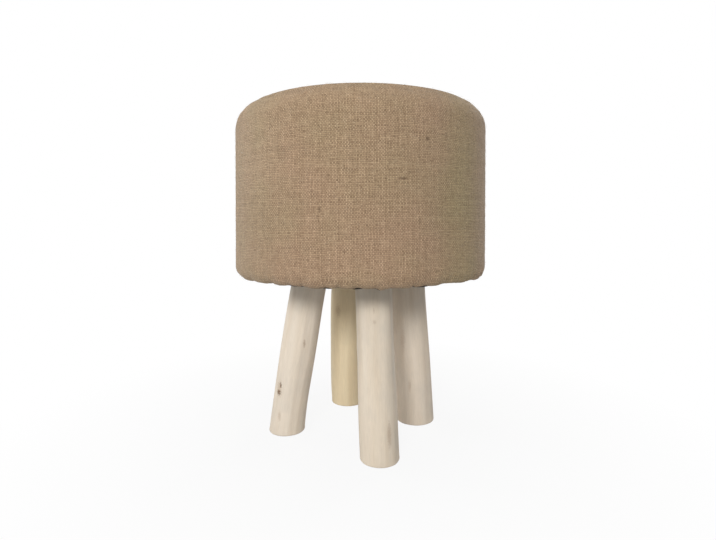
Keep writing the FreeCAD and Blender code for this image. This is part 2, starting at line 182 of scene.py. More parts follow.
def seamlessWaves(turn, height, seed, waveCounts, climb, size):
    # A sum of cosines. Each has a whole number of waves round the seat, so that no join shows, and a slant
    # of its own up the side. Many waves get less depth than few.
    draw = np.random.default_rng(seed)
    total = np.zeros(np.broadcast(turn, height).shape)
    for count in waveCounts:
        phase = draw.uniform(0, fullTurn)
        slant = draw.uniform(-climb, climb)
        depth = draw.uniform(0.5, 1) / math.sqrt(count)
        total = total + depth * np.cos(count * turn + slant * height + phase)
    return size * total / math.sqrt(len(waveCounts))


def bell(distance, width):
    # Falls from 1 at no distance to nearly 0 at twice the width
    return np.exp(-(distance / width) ** 2)


def smoothStep(value, low, high):
    # Rises from 0 at low to 1 at high with level ends
    share = np.clip((value - low) / (high - low), 0, 1)
    return share * share * (3 - 2 * share)


def turnGap(turn, centre):
    # The shorter way round from centre to turn, in radians
    return (turn - centre + math.pi) % fullTurn - math.pi


# Section of the padded seat

seatShape = {
    "crownLift": 7.5 * mm,
    "shoulderRadius": 30 * mm,
    "hemEdgeRadius": 12 * mm,
    "hemWidth": 37 * mm,
    "seamTurnShare": 0.77,
    "clothThickness": 1.2 * mm,
    "settled": 2.0 * mm,
}
crownLift = seatShape["crownLift"]
shoulderRadius = seatShape["shoulderRadius"]
hemEdgeRadius = seatShape["hemEdgeRadius"]
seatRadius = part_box("jute_side_band")[1].x
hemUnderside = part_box("jute_side_band")[0].z
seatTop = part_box("jute_top_panel")[1].z - seatShape["settled"]
shoulderReach = seatRadius - shoulderRadius
shoulderHeight = seatTop - crownLift - shoulderRadius
crownRadius = shoulderReach ** 2 / (2 * crownLift) + shoulderRadius + crownLift / 2
crownEndTurn = math.acos(shoulderReach / (crownRadius - shoulderRadius))
seamTurn = seatShape["seamTurnShare"] * crownEndTurn
hemRawReach = seatRadius - seatShape["hemWidth"]
hemEdgeReach = seatRadius - hemEdgeRadius
hemEdgeHeight = hemUnderside + hemEdgeRadius


def straightRun(start, end, count):
    # Even steps from start to end: reach, height and the direction outwards, to the right of the way
    start, end = np.array(start), np.array(end)
    way = unit(end - start)
    steps = start + (end - start) * np.linspace(0, 1, count)[:, None]
    return np.concatenate([steps, np.tile((way[1], -way[0]), (count, 1))], 1)


def arcRun(centre, radius, startTurn, endTurn, count):
    # The same along an arc; outwards is away from its centre
    turn = np.linspace(startTurn, endTurn, count)
    outward = np.stack([np.cos(turn), np.sin(turn)], -1)
    return np.concatenate([np.array(centre) + radius * outward, outward], 1)


def shoulderArc(depth, startTurn, endTurn, count):
    return arcRun((shoulderReach, shoulderHeight), shoulderRadius - depth, startTurn, endTurn, count)


def crownArc(depth, startTurn, endTurn, count):
    return arcRun((0, seatTop - crownRadius), crownRadius - depth, startTurn, endTurn, count)


def joinRuns(*runs):
    # Joins runs end to end: columns of reach, height, outward reach, outward height and the length so far
    joined = np.concatenate([runs[0], *(run[1:] for run in runs[1:])])
    steps = np.linalg.norm(np.diff(joined[:, :2], axis=0), axis=1)
    return (*joined.T[..., None], np.concatenate([[0], np.cumsum(steps)])[:, None])


# The hem: how far the turned-under edge of the jute hangs or lifts round the seat

hemFolds = {
    # turn in degrees, half width in millimetres, how far it hangs in millimetres (a lift is negative)
    "placed": [
        (-150, 13, 0.4), (-145, 8, -0.8), (-140, 8, 0.1), (-133.5, 5, -1.5), (-122, 9, 1.0),
        (-117.4, 4, -1.2), (-110, 5, 0.7), (-105, 4, -1.3), (-96, 7, 2.1), (-86, 8, 0.9), (-77, 5, -1.4),
        (-66, 8, -1.2), (-61, 9, -0.9), (-54, 7, 1.0), (-46, 5, -0.6), (-38, 7, 2.4), (-26, 5, -1.0),
    ],
    # Drawn folds for the sides that the photograph hides
    "spreadCount": 26,
    "spreadTurns": (-12, 196),
    "spreadDepth": 1.5,
    "always": 0.1 * mm,
    # Lengths along the section, from the raw edge, over which the hang grows and fades
    "grows": (8 * mm, 26 * mm),
    "fades": (44 * mm, 70 * mm),
    "outwardShare": 0.35,
    "gatherCount": 52,
    "gatherDepth": 1.0 * mm,
    "gatherFade": 5 * mm,
    "seed": 11,
}


def hemHang(turn):
    # A sum of bells round the rim, some listed one by one and the rest drawn, in metres downwards
    draw = np.random.default_rng(hemFolds["seed"])
    count = hemFolds["spreadCount"]
    spread = np.stack([
        np.linspace(*hemFolds["spreadTurns"], count) + draw.uniform(-2.5, 2.5, count),
        draw.uniform(5, 10, count),
        draw.uniform(-1, 1, count) * hemFolds["spreadDepth"],
    ], -1)
    folds = np.concatenate([hemFolds["placed"], spread])
    gap = turnGap(turn[..., None], np.radians(folds[:, 0])) * seatRadius
    return hemFolds["always"] + (bell(gap, folds[:, 1] * mm) * folds[:, 2] * mm).sum(-1)


def gatherDrop(turn, reach):
    # Pleats under the hem. Going in, the rim shortens, and the spare cloth stands in sharp-topped waves, as
    # deep as the root of what is spare; slow waves shift them, so that no two are alike.
    spare = 2 * np.sqrt(np.clip(seatRadius / reach - 1, 0, 0.25))
    shifted = turn + 0.05 * np.sin(5 * turn + 1.3) + 0.03 * np.sin(11 * turn + 0.4)
    wave = 1 - np.abs(np.sin(hemFolds["gatherCount"] / 2 * shifted))
    uneven = 0.65 + 0.35 * np.sin(7 * turn + 2.1)
    return hemFolds["gatherDepth"] * spare * wave ** 1.5 * uneven


# The under cloth's staples: their middles lie between their outer ends and a line inside the cloth's edge
underStaples = {"count": 16, "edgeToLine": 6 * mm, "tight": 6 * mm}
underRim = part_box("dust_cover")[1].x
underStapleReach = (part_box("dust_cover_staples")[1].x + underRim - underStaples["edgeToLine"]) / 2


def stapled(turn, reach):
    # 1 at a staple of the under cloth, falling to 0 round it
    gap = turnGap(turn * underStaples["count"], 0) / underStaples["count"] * reach
    return bell(np.hypot(gap, reach - underStapleReach), underStaples["tight"])


# The jute cover

jute = {
    "aroundCount": 480,
    "hemRows": 10,
    "hemEdgeRows": 12,
    "sideRows": 54,
    "shoulderRows": 12,
    "seamRows": 9,
    "panelRows": 52,
    # Rows stand close together this near the seam
    "fineReach": 6 * mm,
    "waver": 0.5 * mm,
    "waverFrom": (20 * mm, 60 * mm),
    "panelWaver": 0.5 * mm,
    # The padding under the top edge: turn in degrees, width in radians, how far it stands out
    "corners": [(166, 0.8, -2.1 * mm), (-14, 0.7, 0.6 * mm)],
    "cornerReach": 128 * mm,
    "cornerWidth": 20 * mm,
    "seamDepth": 1.0 * mm,
    "seamWidth": 1.4 * mm,
    "seamSwell": 0.2 * mm,
    # How far from the seam that swell lies and how wide it is, in widths of the seam
    "swellPlace": 3.2,
    "swellWidth": 2.2,
    "puckerDepth": 0.484 * mm,
    "puckerReach": 12 * mm,
    "puckerCounts": range(70, 130, 4),
    # The band's own joint: its turn, a groove and, on both sides of it, a lip
    "backSeamTurn": 90,
    "backSeamDepth": 1.1 * mm,
    "backSeamWidth": 1.6 * mm,
    "backSeamFrom": (30 * mm, 50 * mm),
    "backSeamTo": (0, 12 * mm),
    "lipHeight": 0.45 * mm,
    "lipPlace": 5 * mm,
    "lipWidth": 3 * mm,
    "panelWeaveTurn": 9,
}

# The cloth's own give, simulated on every second row and column of the band; under the board it fades
clothTest = {
    "frames": 16,
    "settings": {
        "mass": 0.01,
        "tension_stiffness": 15.0,
        "compression_stiffness": 15.0,
        "bending_stiffness": 0.05,
        "use_pressure": True,
        "uniform_pressure_force": 6.0,
        "shrink_min": -0.012,
    },
    "stapleCount": 24,
    "stapleReach": 126 * mm,
    "boardFade": (128 * mm, 146 * mm),
    "mostMove": 2.5 * mm,
    "mostRise": 0.5 * mm,
}


def simulateBand(points, reach):
    # The band is sewn along its top edge and stapled under the board, and the padding presses it outwards.
    # Returns how far each point moved, less the average of its row, so that the seat keeps its size.
    rows, around = points.shape[:2]
    mesh = buildMesh("cloth test", points.reshape(-1, 3), gridFaces(rows, around, around))
    cloth = addObject("cloth test", mesh)
    stapleRow = int(np.abs(reach[:rows // 3] - clothTest["stapleReach"]).argmin())
    count = clothTest["stapleCount"]
    staples = np.round((np.arange(count) + 0.5) * around / count) % around + stapleRow * around
    held = np.append(np.arange(around) + (rows - 1) * around, staples).astype(int)
    cloth.vertex_groups.new(name="held").add(held.tolist(), 1.0, "ADD")
    modifier = cloth.modifiers.new("give", "CLOTH")
    settings = settle(modifier.settings, **clothTest["settings"], vertex_group_mass="held")
    settings.effector_weights.gravity = 0
    modifier.collision_settings.use_collision = False
    modifier.point_cache.frame_end = clothTest["frames"]
    for frameNumber in range(1, clothTest["frames"] + 1):
        scene.frame_set(frameNumber)
    moved = np.zeros(points.size, np.float32)
    cloth.evaluated_get(bpy.context.evaluated_depsgraph_get()).data.vertices.foreach_get("co", moved)
    scene.frame_set(1)
    bpy.data.objects.remove(cloth)
    move = moved.reshape(points.shape) - points
    outside = (move * unit(points * (1, 1, 0))).sum(-1)
    outside = outside - outside.mean(1, keepdims=True)
    down = move[..., 2]
    onSide = (reach >= seatRadius - mm)[:, None]
    down = down - np.where(onSide, down.mean(1, keepdims=True), down.max(1, keepdims=True))
    most = clothTest["mostMove"]
    print("band simulated: moved up to", round(float(np.abs(move).max() / mm), 1), "mm")
    return np.clip(outside, -most, most), np.clip(down, -most, clothTest["mostRise"])


def betweenPoints(coarse):
    # Halfway values between neighbouring rows and columns, the columns wrapping round
    wide = np.stack([coarse, (coarse + np.roll(coarse, -1, 1)) / 2], 2).reshape(len(coarse), -1)
    tall = np.zeros((2 * len(wide) - 1, wide.shape[1]))
    tall[::2] = wide
    tall[1::2] = (wide[1:] + wide[:-1]) / 2
    return tall


def seamSwell(turn, distance):
    # The cloth swells before the seam and sinks into it; the thread's short puckers die out away from it
    width = jute["seamWidth"]
    sink = bell(distance, width) * jute["seamDepth"]
    swell = bell(distance - jute["swellPlace"] * width, jute["swellWidth"] * width) * jute["seamSwell"]
    ripple = seamlessWaves(turn, distance * 0, 5, jute["puckerCounts"], 0, jute["puckerDepth"])
    return swell - sink + ripple * np.exp(-distance / jute["puckerReach"])


def cornerSwell(turn, reach):
    # How far the padding under the top edge stands out, as bells round the seat and across its edge
    across = bell(reach - jute["cornerReach"], jute["cornerWidth"])
    return sum(size * bell(turnGap(turn, math.radians(place)), width) * across
               for place, width, size in jute["corners"])


def startCover(turn, section):
    # A cover's plain points and outward directions, before anything moves them
    reach, height, outReach, outHeight = section[:4]
    return {"turn": turn, "plain": swing(reach, height, turn), "outward": swing(outReach, outHeight, turn)}


def sideBandGrid():
    # The band with its flat layout and its width
    nearSeam = seamTurn - jute["fineReach"] / shoulderRadius
    section = joinRuns(
        straightRun((hemRawReach, hemUnderside), (hemEdgeReach, hemUnderside), jute["hemRows"]),
        arcRun((hemEdgeReach, hemEdgeHeight), hemEdgeRadius, -math.pi / 2, 0, jute["hemEdgeRows"]),
        straightRun((seatRadius, hemEdgeHeight), (seatRadius, shoulderHeight), jute["sideRows"]),
        shoulderArc(0, 0, nearSeam, jute["shoulderRows"]),
        shoulderArc(0, nearSeam, seamTurn, jute["seamRows"]),
    )
    turn = turnsRound(jute["aroundCount"], jute["backSeamTurn"])
    cover = startCover(turn, section)
    reach, height, run = section[0], section[1], section[4]
    fromSeam = run[-1] - run

    # Slow unevenness of the padding
    swell = seamlessWaves(turn, run, 3, (2, 3, 4, 5, 7, 9, 12), 14, jute["waver"])
    swell = swell * smoothStep(run, *jute["waverFrom"]) + seamSwell(turn, fromSeam)
    swell = swell + cornerSwell(turn, reach) * (height > shoulderHeight)
    # The band's own joint at the back: a groove between two pressed-open edges
    across = np.abs(turnGap(turn, math.radians(jute["backSeamTurn"]))) * seatRadius
    joint = (jute["lipHeight"] * bell(across - jute["lipPlace"], jute["lipWidth"])
             - jute["backSeamDepth"] * bell(across, jute["backSeamWidth"]))
    joint = joint * smoothStep(run, *jute["backSeamFrom"]) * smoothStep(fromSeam, *jute["backSeamTo"])
    points = cover["plain"] + cover["outward"] * (swell + joint)[..., None]
    loose = 1 - stapled(turn, reach) * (height < hemEdgeHeight)
    loose = loose * smoothStep(reach, *clothTest["boardFade"])
    moves = simulateBand(cover["plain"][::2, ::2], reach[::2, 0])
    give, sag = (betweenPoints(part) * loose for part in moves)
    points += swing(give, sag, turn)

    # The hem hangs and lifts: strongest along the rim, gone a little way up and towards the board
    rim = smoothStep(run, *hemFolds["grows"]) * (1 - smoothStep(run, *hemFolds["fades"]))
    free = 1 - stapled(turn, reach) * (height < hemUnderside + mm)
    hang = hemHang(turn) * rim * free
    gathered = 1 - smoothStep(height, hemUnderside, hemUnderside + hemFolds["gatherFade"])
    upSide = smoothStep(height, hemUnderside + 3 * mm, hemEdgeHeight) * rim * hemFolds["outwardShare"]
    points += swing(upSide * hang, -hang - gatherDrop(turn, reach) * free * gathered, turn)

    flatTurn = np.linspace(0, fullTurn, jute["aroundCount"] + 1)
    flat = np.stack(np.broadcast_arrays(flatTurn * seatRadius, run), -1)
    return {**cover, "points": points}, flat, float(run[-1, 0])


def topPanelGrid():
    # The same for the panel, from the seam to the middle of the crown
    farSeam = seamTurn + jute["fineReach"] / shoulderRadius
    section = joinRuns(
        shoulderArc(0, seamTurn, farSeam, jute["seamRows"]),
        shoulderArc(0, farSeam, crownEndTurn, 3),
        crownArc(0, crownEndTurn, math.pi / 2 - 0.8 * mm / crownRadius, jute["panelRows"]),
    )
    turn = turnsRound(jute["aroundCount"] // 2)
    cover = startCover(turn, section)
    reach, run = section[0], section[4]
    uneven = smoothStep(run, 0, 30 * mm) * np.clip(reach / shoulderReach, 0, 1)
    swell = seamlessWaves(turn, run, 8, (2, 3, 4, 6), 18, jute["panelWaver"]) * uneven
    swell = swell + seamSwell(turn, run) + cornerSwell(turn, reach)
    points = cover["plain"] + cover["outward"] * swell[..., None]
    flatTurn = np.linspace(0, fullTurn, jute["aroundCount"] // 2 + 1) - math.radians(jute["panelWeaveTurn"])
    flat = swing(run[-1] - run, 0, flatTurn)[..., :2]
    return {**cover, "points": points}, flat, float(run[-1, 0])


def makeJute(material):
    def addCover(name, replaced, cover, flat, ends):
        inner = cover["points"] - cover["outward"] * seatShape["clothThickness"]
        return addGrid(name, cover["points"], material, replaced, inner, flat, ends)

    bandCover, flat, length = sideBandGrid()
    band = addCover("side_band_cloth", "jute_side_band", bandCover, flat, "loop")
    print("jute side band:", round(length / mm), "mm wide")

    panelCover, flat, length = topPanelGrid()
    panel = addCover("top_panel_cloth", "jute_top_panel", panelCover, flat, "poles")
    print("jute top panel:", round(2 * length / mm), "mm across")
    return bandCover, panelCover


# Sewing thread in the seam, and fibres that have worked loose

looseThreads = {
    "stitchCount": 190,
    "stitchLength": 2.7 * mm,
    "stitchRadius": 0.3 * mm,
    "stitchSunk": 0.25 * mm,
    # How unevenly they stand, as a share of their spacing
    "stitchSway": 0.08,
    "fibreCount": 3400,
    # Share of the fibres, and the first row that has any
    "fibresOnBand": (0.72, 12),
    "fibresOnPanel": (0.28, 0),
    "fibreLength": (2.5 * mm, 8.0 * mm),
    "fibreCurl": 0.9,
    "fibreRadius": 0.045 * mm,
    "fibreStand": 1.5 * mm,
    "seed": 77,
}


def makeStitches(draw, groove, material):
    # Short bars along the bottom of the groove, dipping at both ends
    count = looseThreads["stitchCount"]
    sway = looseThreads["stitchSway"]
    turn = np.arange(count) + draw.uniform(-sway, sway, count)
    place = (turn / count * len(groove)).astype(int) % len(groove)
    middle = groove[place]
    ahead = unit(groove[(place + 1) % len(groove)] - middle)
    share = np.linspace(-0.5, 0.5, 5)[None, :, None]
    sunk = looseThreads["stitchSunk"] * (6.0 * share ** 2 - 0.5)
    down = unit(middle * (1, 1, 0)) * -0.45 - np.array([0, 0, 0.9])
    paths = middle[:, None] + ahead[:, None] * share * looseThreads["stitchLength"] + down[:, None] * sunk
    addTubes("seam_thread", paths, looseThreads["stitchRadius"], 6, material)


def makeFibres(draw, name, grid, share, lowRow, material):
    # Each starts on the cloth, runs off along it at a chance slant, curls, and stands a little proud
    around = grid.shape[1]
    count = int(looseThreads["fibreCount"] * share)
    width = np.linalg.norm(grid[:, 1] - grid[:, 0], axis=-1)
    step = np.linalg.norm(np.roll(grid[:, 0], -1, 0) - grid[:, 0], axis=-1)
    weight = (width * step)[lowRow:-2]
    row = draw.choice(len(weight), count, p=weight / weight.sum()) + lowRow
    column = draw.integers(0, around, count)
    start = grid[row, column]
    sideways = unit(grid[row, (column + 1) % around] - start)
    upwards = unit(grid[row + 1, column] - start)
    slant = draw.uniform(0, fullTurn, count)[:, None]
    curl = draw.normal(0, looseThreads["fibreCurl"], count)[:, None]
    length = draw.uniform(*looseThreads["fibreLength"], count)[:, None]
    along = np.linspace(0, 1, 6)[None, :]
    heading = slant + curl * along
    stand = looseThreads["fibreStand"] * draw.uniform(0.15, 1, count)[:, None] ** 2
    rise = stand * np.sin(math.pi * np.clip(along * draw.uniform(0.55, 1.0, count)[:, None], 0, 1))
    ways = ((sideways, np.cos(heading) * along * length), (upwards, np.sin(heading) * along * length),
            (np.cross(sideways, upwards), rise))
    paths = start[:, None] + sum(way[:, None] * far[..., None] for way, far in ways)
    addTubes(name, paths, looseThreads["fibreRadius"], 3, material)


def makeThreads(bandPoints, panelPoints):
    draw = np.random.default_rng(looseThreads["seed"])
    makeStitches(draw, bandPoints[-1], makeSpeckled("seam thread"))
    material = makeSpeckled("loose jute fibre")
    makeFibres(draw, "band_fibres", bandPoints, *looseThreads["fibresOnBand"], material)
    makeFibres(draw, "panel_fibres", panelPoints, *looseThreads["fibresOnPanel"], material)
    print("threads and loose fibres made")


# Foam and wadding, under the jute

padding = {
    "waddingThickness": 5 * mm,
    "clearance": 0.2 * mm,
    "aroundCount": 180,
    "fluff": 0.25 * mm,
    "leastThickness": 0.5 * mm,
    "foamEdge": 1.2 * mm,
    "foamRows": {"under": 16, "edge": 5, "side": 8, "shoulder": 14, "crown": 30},
}


def makePadding(bandCover, panelCover):
    # The wadding's outside follows the inside of the cover, and its inside is round
    material = makeSpeckled("wadding")
    outerDepth = seatShape["clothThickness"] + padding["clearance"] + 2 * padding["fluff"]
    innerDepth = seatShape["clothThickness"] + padding["clearance"] + padding["waddingThickness"]

    def underCover(cover, firstRow, step, seed):
        plain, points, outward = (cover[part][firstRow:, ::step] for part in ("plain", "points", "outward"))
        row = np.arange(len(points))[:, None]
        lumps = seamlessWaves(cover["turn"][:, ::step], row, seed, range(5, 60, 5), 0.5, padding["fluff"])
        return points - outward * (outerDepth - lumps)[..., None], plain - outward * innerDepth

    outer, inner = underCover(panelCover, 0, 1, 21)
    pad = addGrid("top_wadding_pad", outer, material, "top_wadding", inner)

    # Down the side the inside goes straight to the rim, where both meet
    inside = seatRadius - innerDepth
    lowTurn = math.acos((inside - hemEdgeReach) / (hemEdgeRadius - outerDepth))
    heights = bandCover["plain"][:, 0, 2]
    firstRow = int((heights < hemEdgeHeight - hemEdgeRadius * math.sin(lowTurn)).sum())
    outer, inner = underCover(bandCover, firstRow, 2, 22)
    low = heights[firstRow:] < hemEdgeHeight
    outerReach = np.linalg.norm(outer[low][..., :2], axis=-1, keepdims=True)
    inner[low] = outer[low] * (1, 1, 0) / outerReach * inside + outer[low] * (0, 0, 1)
    outer[low, :, :2] *= np.maximum(1, (inside + padding["leastThickness"]) / outerReach)
    pad = addGrid("side_wadding_pad", outer, material, "side_wadding", inner, ends="loop")

    foamDepth = innerDepth + padding["clearance"]
    foamReach = seatRadius - foamDepth
    low, edge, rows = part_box("seat_foam")[0].z, padding["foamEdge"], padding["foamRows"]
    foam = joinRuns(
        straightRun((mm, low), (foamReach - edge, low), rows["under"]),
        arcRun((foamReach - edge, low + edge), edge, -math.pi / 2, 0, rows["edge"]),
        straightRun((foamReach, low + edge), (foamReach, shoulderHeight), rows["side"]),
        shoulderArc(foamDepth, 0, crownEndTurn, rows["shoulder"]),
        crownArc(foamDepth, crownEndTurn, math.pi / 2 - mm / crownRadius, rows["crown"]),
    )
    grid = swing(foam[0], foam[1], turnsRound(padding["aroundCount"]))
    pad = addGrid("foam_pad", grid, makeSpeckled("foam"), "seat_foam")
    print("padding made")


# Peeled branch legs

legWood = {
    "nodeFootEdge": 3.5 * mm,
    "footEdge": 1.8 * mm,
    "topEdge": 0.5 * mm,
    "topBevel": 0.4 * mm,
    "boreRadius": 3.5 * mm,
    "boreDepth": 36 * mm,
    "boreTip": 5 * mm,
    "aroundCount": 144,
    "sideRows": 150,
    "endRows": 6,
    "edgeRows": 6,
    "lumps": 0.45 * mm,
    "slowWaves": 0.3 * mm,
    "cuts": 0.16 * mm,
    # How far each branch bows between its ends, along x and y in millimetres
    "bows": {"front": (-0.3, 0.0), "right": (0.2, 0.6), "back": (-2.6, 0.5), "left": (-1.6, 0.4)},
    # How far each foot spreads, in millimetres, and how high up that fades
    "flare": {"front": 0.2, "right": 0.2, "back": 0.1, "left": 0.8},
    "flareFade": 30 * mm,
    # Flats left by the peeling knife: turn in degrees and how far out they lie as a share of the radius
    "flats": {
        "front": [(-37, 0.955), (-128, 0.985), (60, 0.965), (150, 0.97)],
        "right": [(-62, 0.975), (-128, 0.97), (10, 0.96), (120, 0.97)],
        "back": [(-118, 0.975), (-60, 0.985), (80, 0.96), (170, 0.97)],
        "left": [(-82, 0.97), (-140, 0.985), (20, 0.965), (110, 0.96)],
    },
    # A knot is (turn in degrees, height, half width, how far it stands out), lengths in millimetres
    "knots": {
        "front": [(-107, 157, 8, 0.5), (40, 70, 9, 0.7), (160, 120, 7, 0.5)],
        "right": [(-150, 118, 10, 0.6), (-60, 52, 8, 0.5), (70, 130, 9, 0.7)],
        "back": [(-142, 138, 9, 0.6), (20, 88, 9, 0.6), (95, 40, 8, 0.5)],
        "left": [(-145, 57, 8, 0.7), (-86, 113, 9, 0.5), (60, 96, 10, 0.7)],
    },
    # How much longer than wide a knot is, and how deep its middle sinks as a share of what stands out
    "knotStretch": 1.5,
    "knotDip": 0.45,
    # How far a flat wanders round the branch in radians, and in and out as a share of the radius
    "flatWander": 0.12,
    "flatWaver": 0.008,
    # Over these lengths at the foot and at the top the unevenness fades to a part of itself
    "endFades": (6 * mm, 8 * mm),
    "unevenAtEnds": 0.35,
}


def legEnds(side):
    # Centre and radius of a leg's foot and of its top, read from the node's lowest and highest rings
    data = frame["nodes"]["leg_" + side].data
    points = np.zeros(len(data.vertices) * 3, np.float32)
    data.vertices.foreach_get("co", points)
    points = points.reshape(-1, 3).astype(float)
    ends = []
    for level, edge in ((points[:, 2].min(), legWood["nodeFootEdge"]), (points[:, 2].max(), 0)):
        ring = points[np.abs(points[:, 2] - level) < 0.01 * mm]
        low, high = ring.min(0), ring.max(0)
        ends.append(((low + high) / 2, (high[0] - low[0]) / 2 + edge))
    return ends


def makeLeg(side, seed, material):
    # Each row is a ring about the branch's line, which bows a little. Its radius runs from the foot's to the
    # top's, plus long lumps, narrow knife cuts and knots.
    (foot, footRadius), (top, topRadius) = legEnds(side)
    draw = np.random.default_rng(seed)
    turn = turnsRound(legWood["aroundCount"])
    height = top[2] - foot[2]
    bore, edge, topEdge, ends = (legWood[key] for key in ("boreRadius", "footEdge", "topEdge", "endRows"))
    rounding = np.linspace(0, math.pi / 2, legWood["edgeRows"] + 1)[1:]
    sideRise = np.linspace(edge, height - legWood["topBevel"], legWood["sideRows"])[1:]
    # Each row's rise, how much of the full radius is gone there, and the share of the rest that is left
    rise = np.concatenate([np.zeros(ends), edge * (1 - np.cos(rounding)), sideRise, np.full(ends, height)])
    inset = np.concatenate([np.full(ends, edge), edge * (1 - np.sin(rounding)), 0 * sideRise,
                            np.full(ends, topEdge)])
    topShares = np.linspace(1, bore / (topRadius - topEdge), ends)
    share = np.concatenate([np.linspace(0.08, 1, ends), np.ones(len(rise) - 2 * ends), topShares])
    rise, inset, share = rise[:, None], inset[:, None], share[:, None]
    along = rise / height

    radius = footRadius + (topRadius - footRadius) * along
    radius = radius + legWood["flare"][side] * mm * bell(rise, legWood["flareFade"])
    lumps = np.zeros(np.broadcast(turn, rise).shape)
    for count, slant in ((2, 3), (3, 5), (4, 9), (5, 12)):
        phase = draw.uniform(0, 6)
        lumps = lumps + np.cos(count * turn + phase + slant * draw.uniform(-1, 1) * along) / count
    lumps = lumps * legWood["lumps"]
    slow = np.cos(fullTurn * (along * draw.uniform(0.8, 1.6) + draw.uniform(0, 1))) * legWood["slowWaves"]
    uneven = lumps + slow + seamlessWaves(turn, along, seed + 7, (11, 14, 17, 23), 16, legWood["cuts"])
    for knotTurn, knotRise, knotWidth, knotHeight in legWood["knots"][side]:
        around = turnGap(turn, math.radians(knotTurn)) * radius
        away = np.hypot(around, (rise - knotRise * mm) / legWood["knotStretch"]) / (knotWidth * mm)
        uneven = uneven + knotHeight * mm * (bell(away, 0.7) - legWood["knotDip"] * bell(away, 0.22))
    for number, (flatTurn, flatShare) in enumerate(legWood["flats"][side]):
        # A flat cuts the ring along a straight line; it comes and goes a little with the height
        gap = turnGap(turn, math.radians(flatTurn) + legWood["flatWander"] * np.sin(3 * along + number))
        level = flatShare + legWood["flatWaver"] * np.sin(fullTurn * along * 1.3 + 2.1 * number)
        uneven = uneven + np.minimum(0, radius * level / np.clip(np.cos(gap), 0.5, 1) - radius)
    lowFade, topFade = legWood["endFades"]
    onSide = smoothStep(rise, 0, lowFade) * (1 - smoothStep(rise, height - topFade, height))
    onEnds = legWood["unevenAtEnds"]
    unevenEdge = 1 + 0.35 * seamlessWaves(turn, along * 0, seed + 3, (2, 3, 5, 7), 0, 1)
    full = radius + uneven * (onEnds + (1 - onEnds) * onSide) - inset * unevenEdge
    bored = (share - topShares[-1]) / (1 - topShares[-1])
    ring = np.where(rise >= height, bore + (full - bore) * bored, full * share)

    # The bore for the bolt goes straight down from the top
    tip = height - legWood["boreDepth"]
    boreEnd = np.full((1, 1), tip + legWood["boreTip"])
    local = np.concatenate([swing(ring, rise, turn), swing(bore, boreEnd, turn)])
    # The bow is full over most of the length and gone at both ends
    along = np.append(along, 1)[:, None]
    bow = (1 - (2 * along - 1) ** 4) * mm * np.array([*legWood["bows"][side], 0])
    line = foot + (top - foot) * along * (1, 1, 0) + bow
    branch = addGrid(side + "_branch", local + line[:, None], material, "leg_" + side,
                     lastPole=top - np.array([0, 0, legWood["boreDepth"]]))
    places = np.concatenate([local.reshape(-1, 3), [(0, 0, 0), (0, 0, tip)]]).ravel()
    sawn = np.append(np.repeat(np.append((rise <= 0) | (rise >= height), True), local.shape[1]), (1, 1))
    stored = branch.data.attributes
    stored.new("branchPlace", "FLOAT_VECTOR", "POINT").data.foreach_set("vector", places.astype(np.float32))
    stored.new("sawnEnd", "FLOAT", "POINT").data.foreach_set("value", sawn.astype(np.float32))
    print("leg:", side)


# Black cloth under the seat

underCloth = {
    "thickness": 0.5 * mm,
    "innerRows": 40,
    "outerRows": 24,
    "sag": 1.3 * mm,
    "hemGap": 0.08 * mm,
    # Lengths inside the hem's raw edge: where coarse and fine rows meet, and where the cloth steps down
    "rowsMeet": (7 * mm, 5.5 * mm),
    "stepDown": (6 * mm, 1 * mm),
    # How far from a leg and from the hem the sag is full
    "sagFromLeg": 22 * mm,
    "sagFromHem": 22 * mm,
    "ruffle": 0.35 * mm,
    "alwaysLoose": 0.2 * mm,
    "frayed": 0.5 * mm,
    # turn in degrees, half width and drop in millimetres, where the cut edge shows under the hem
    "loosePlaces": [(-133.5, 5, 2.0), (-117.4, 4, 1.6), (-105, 4.5, 1.8), (-77, 5.5, 2.0), (-48, 5, 0.6),
                    (30, 7, 1.4), (75, 6, 1.0), (128, 8, 1.6), (170, 6, 1.0)],
}


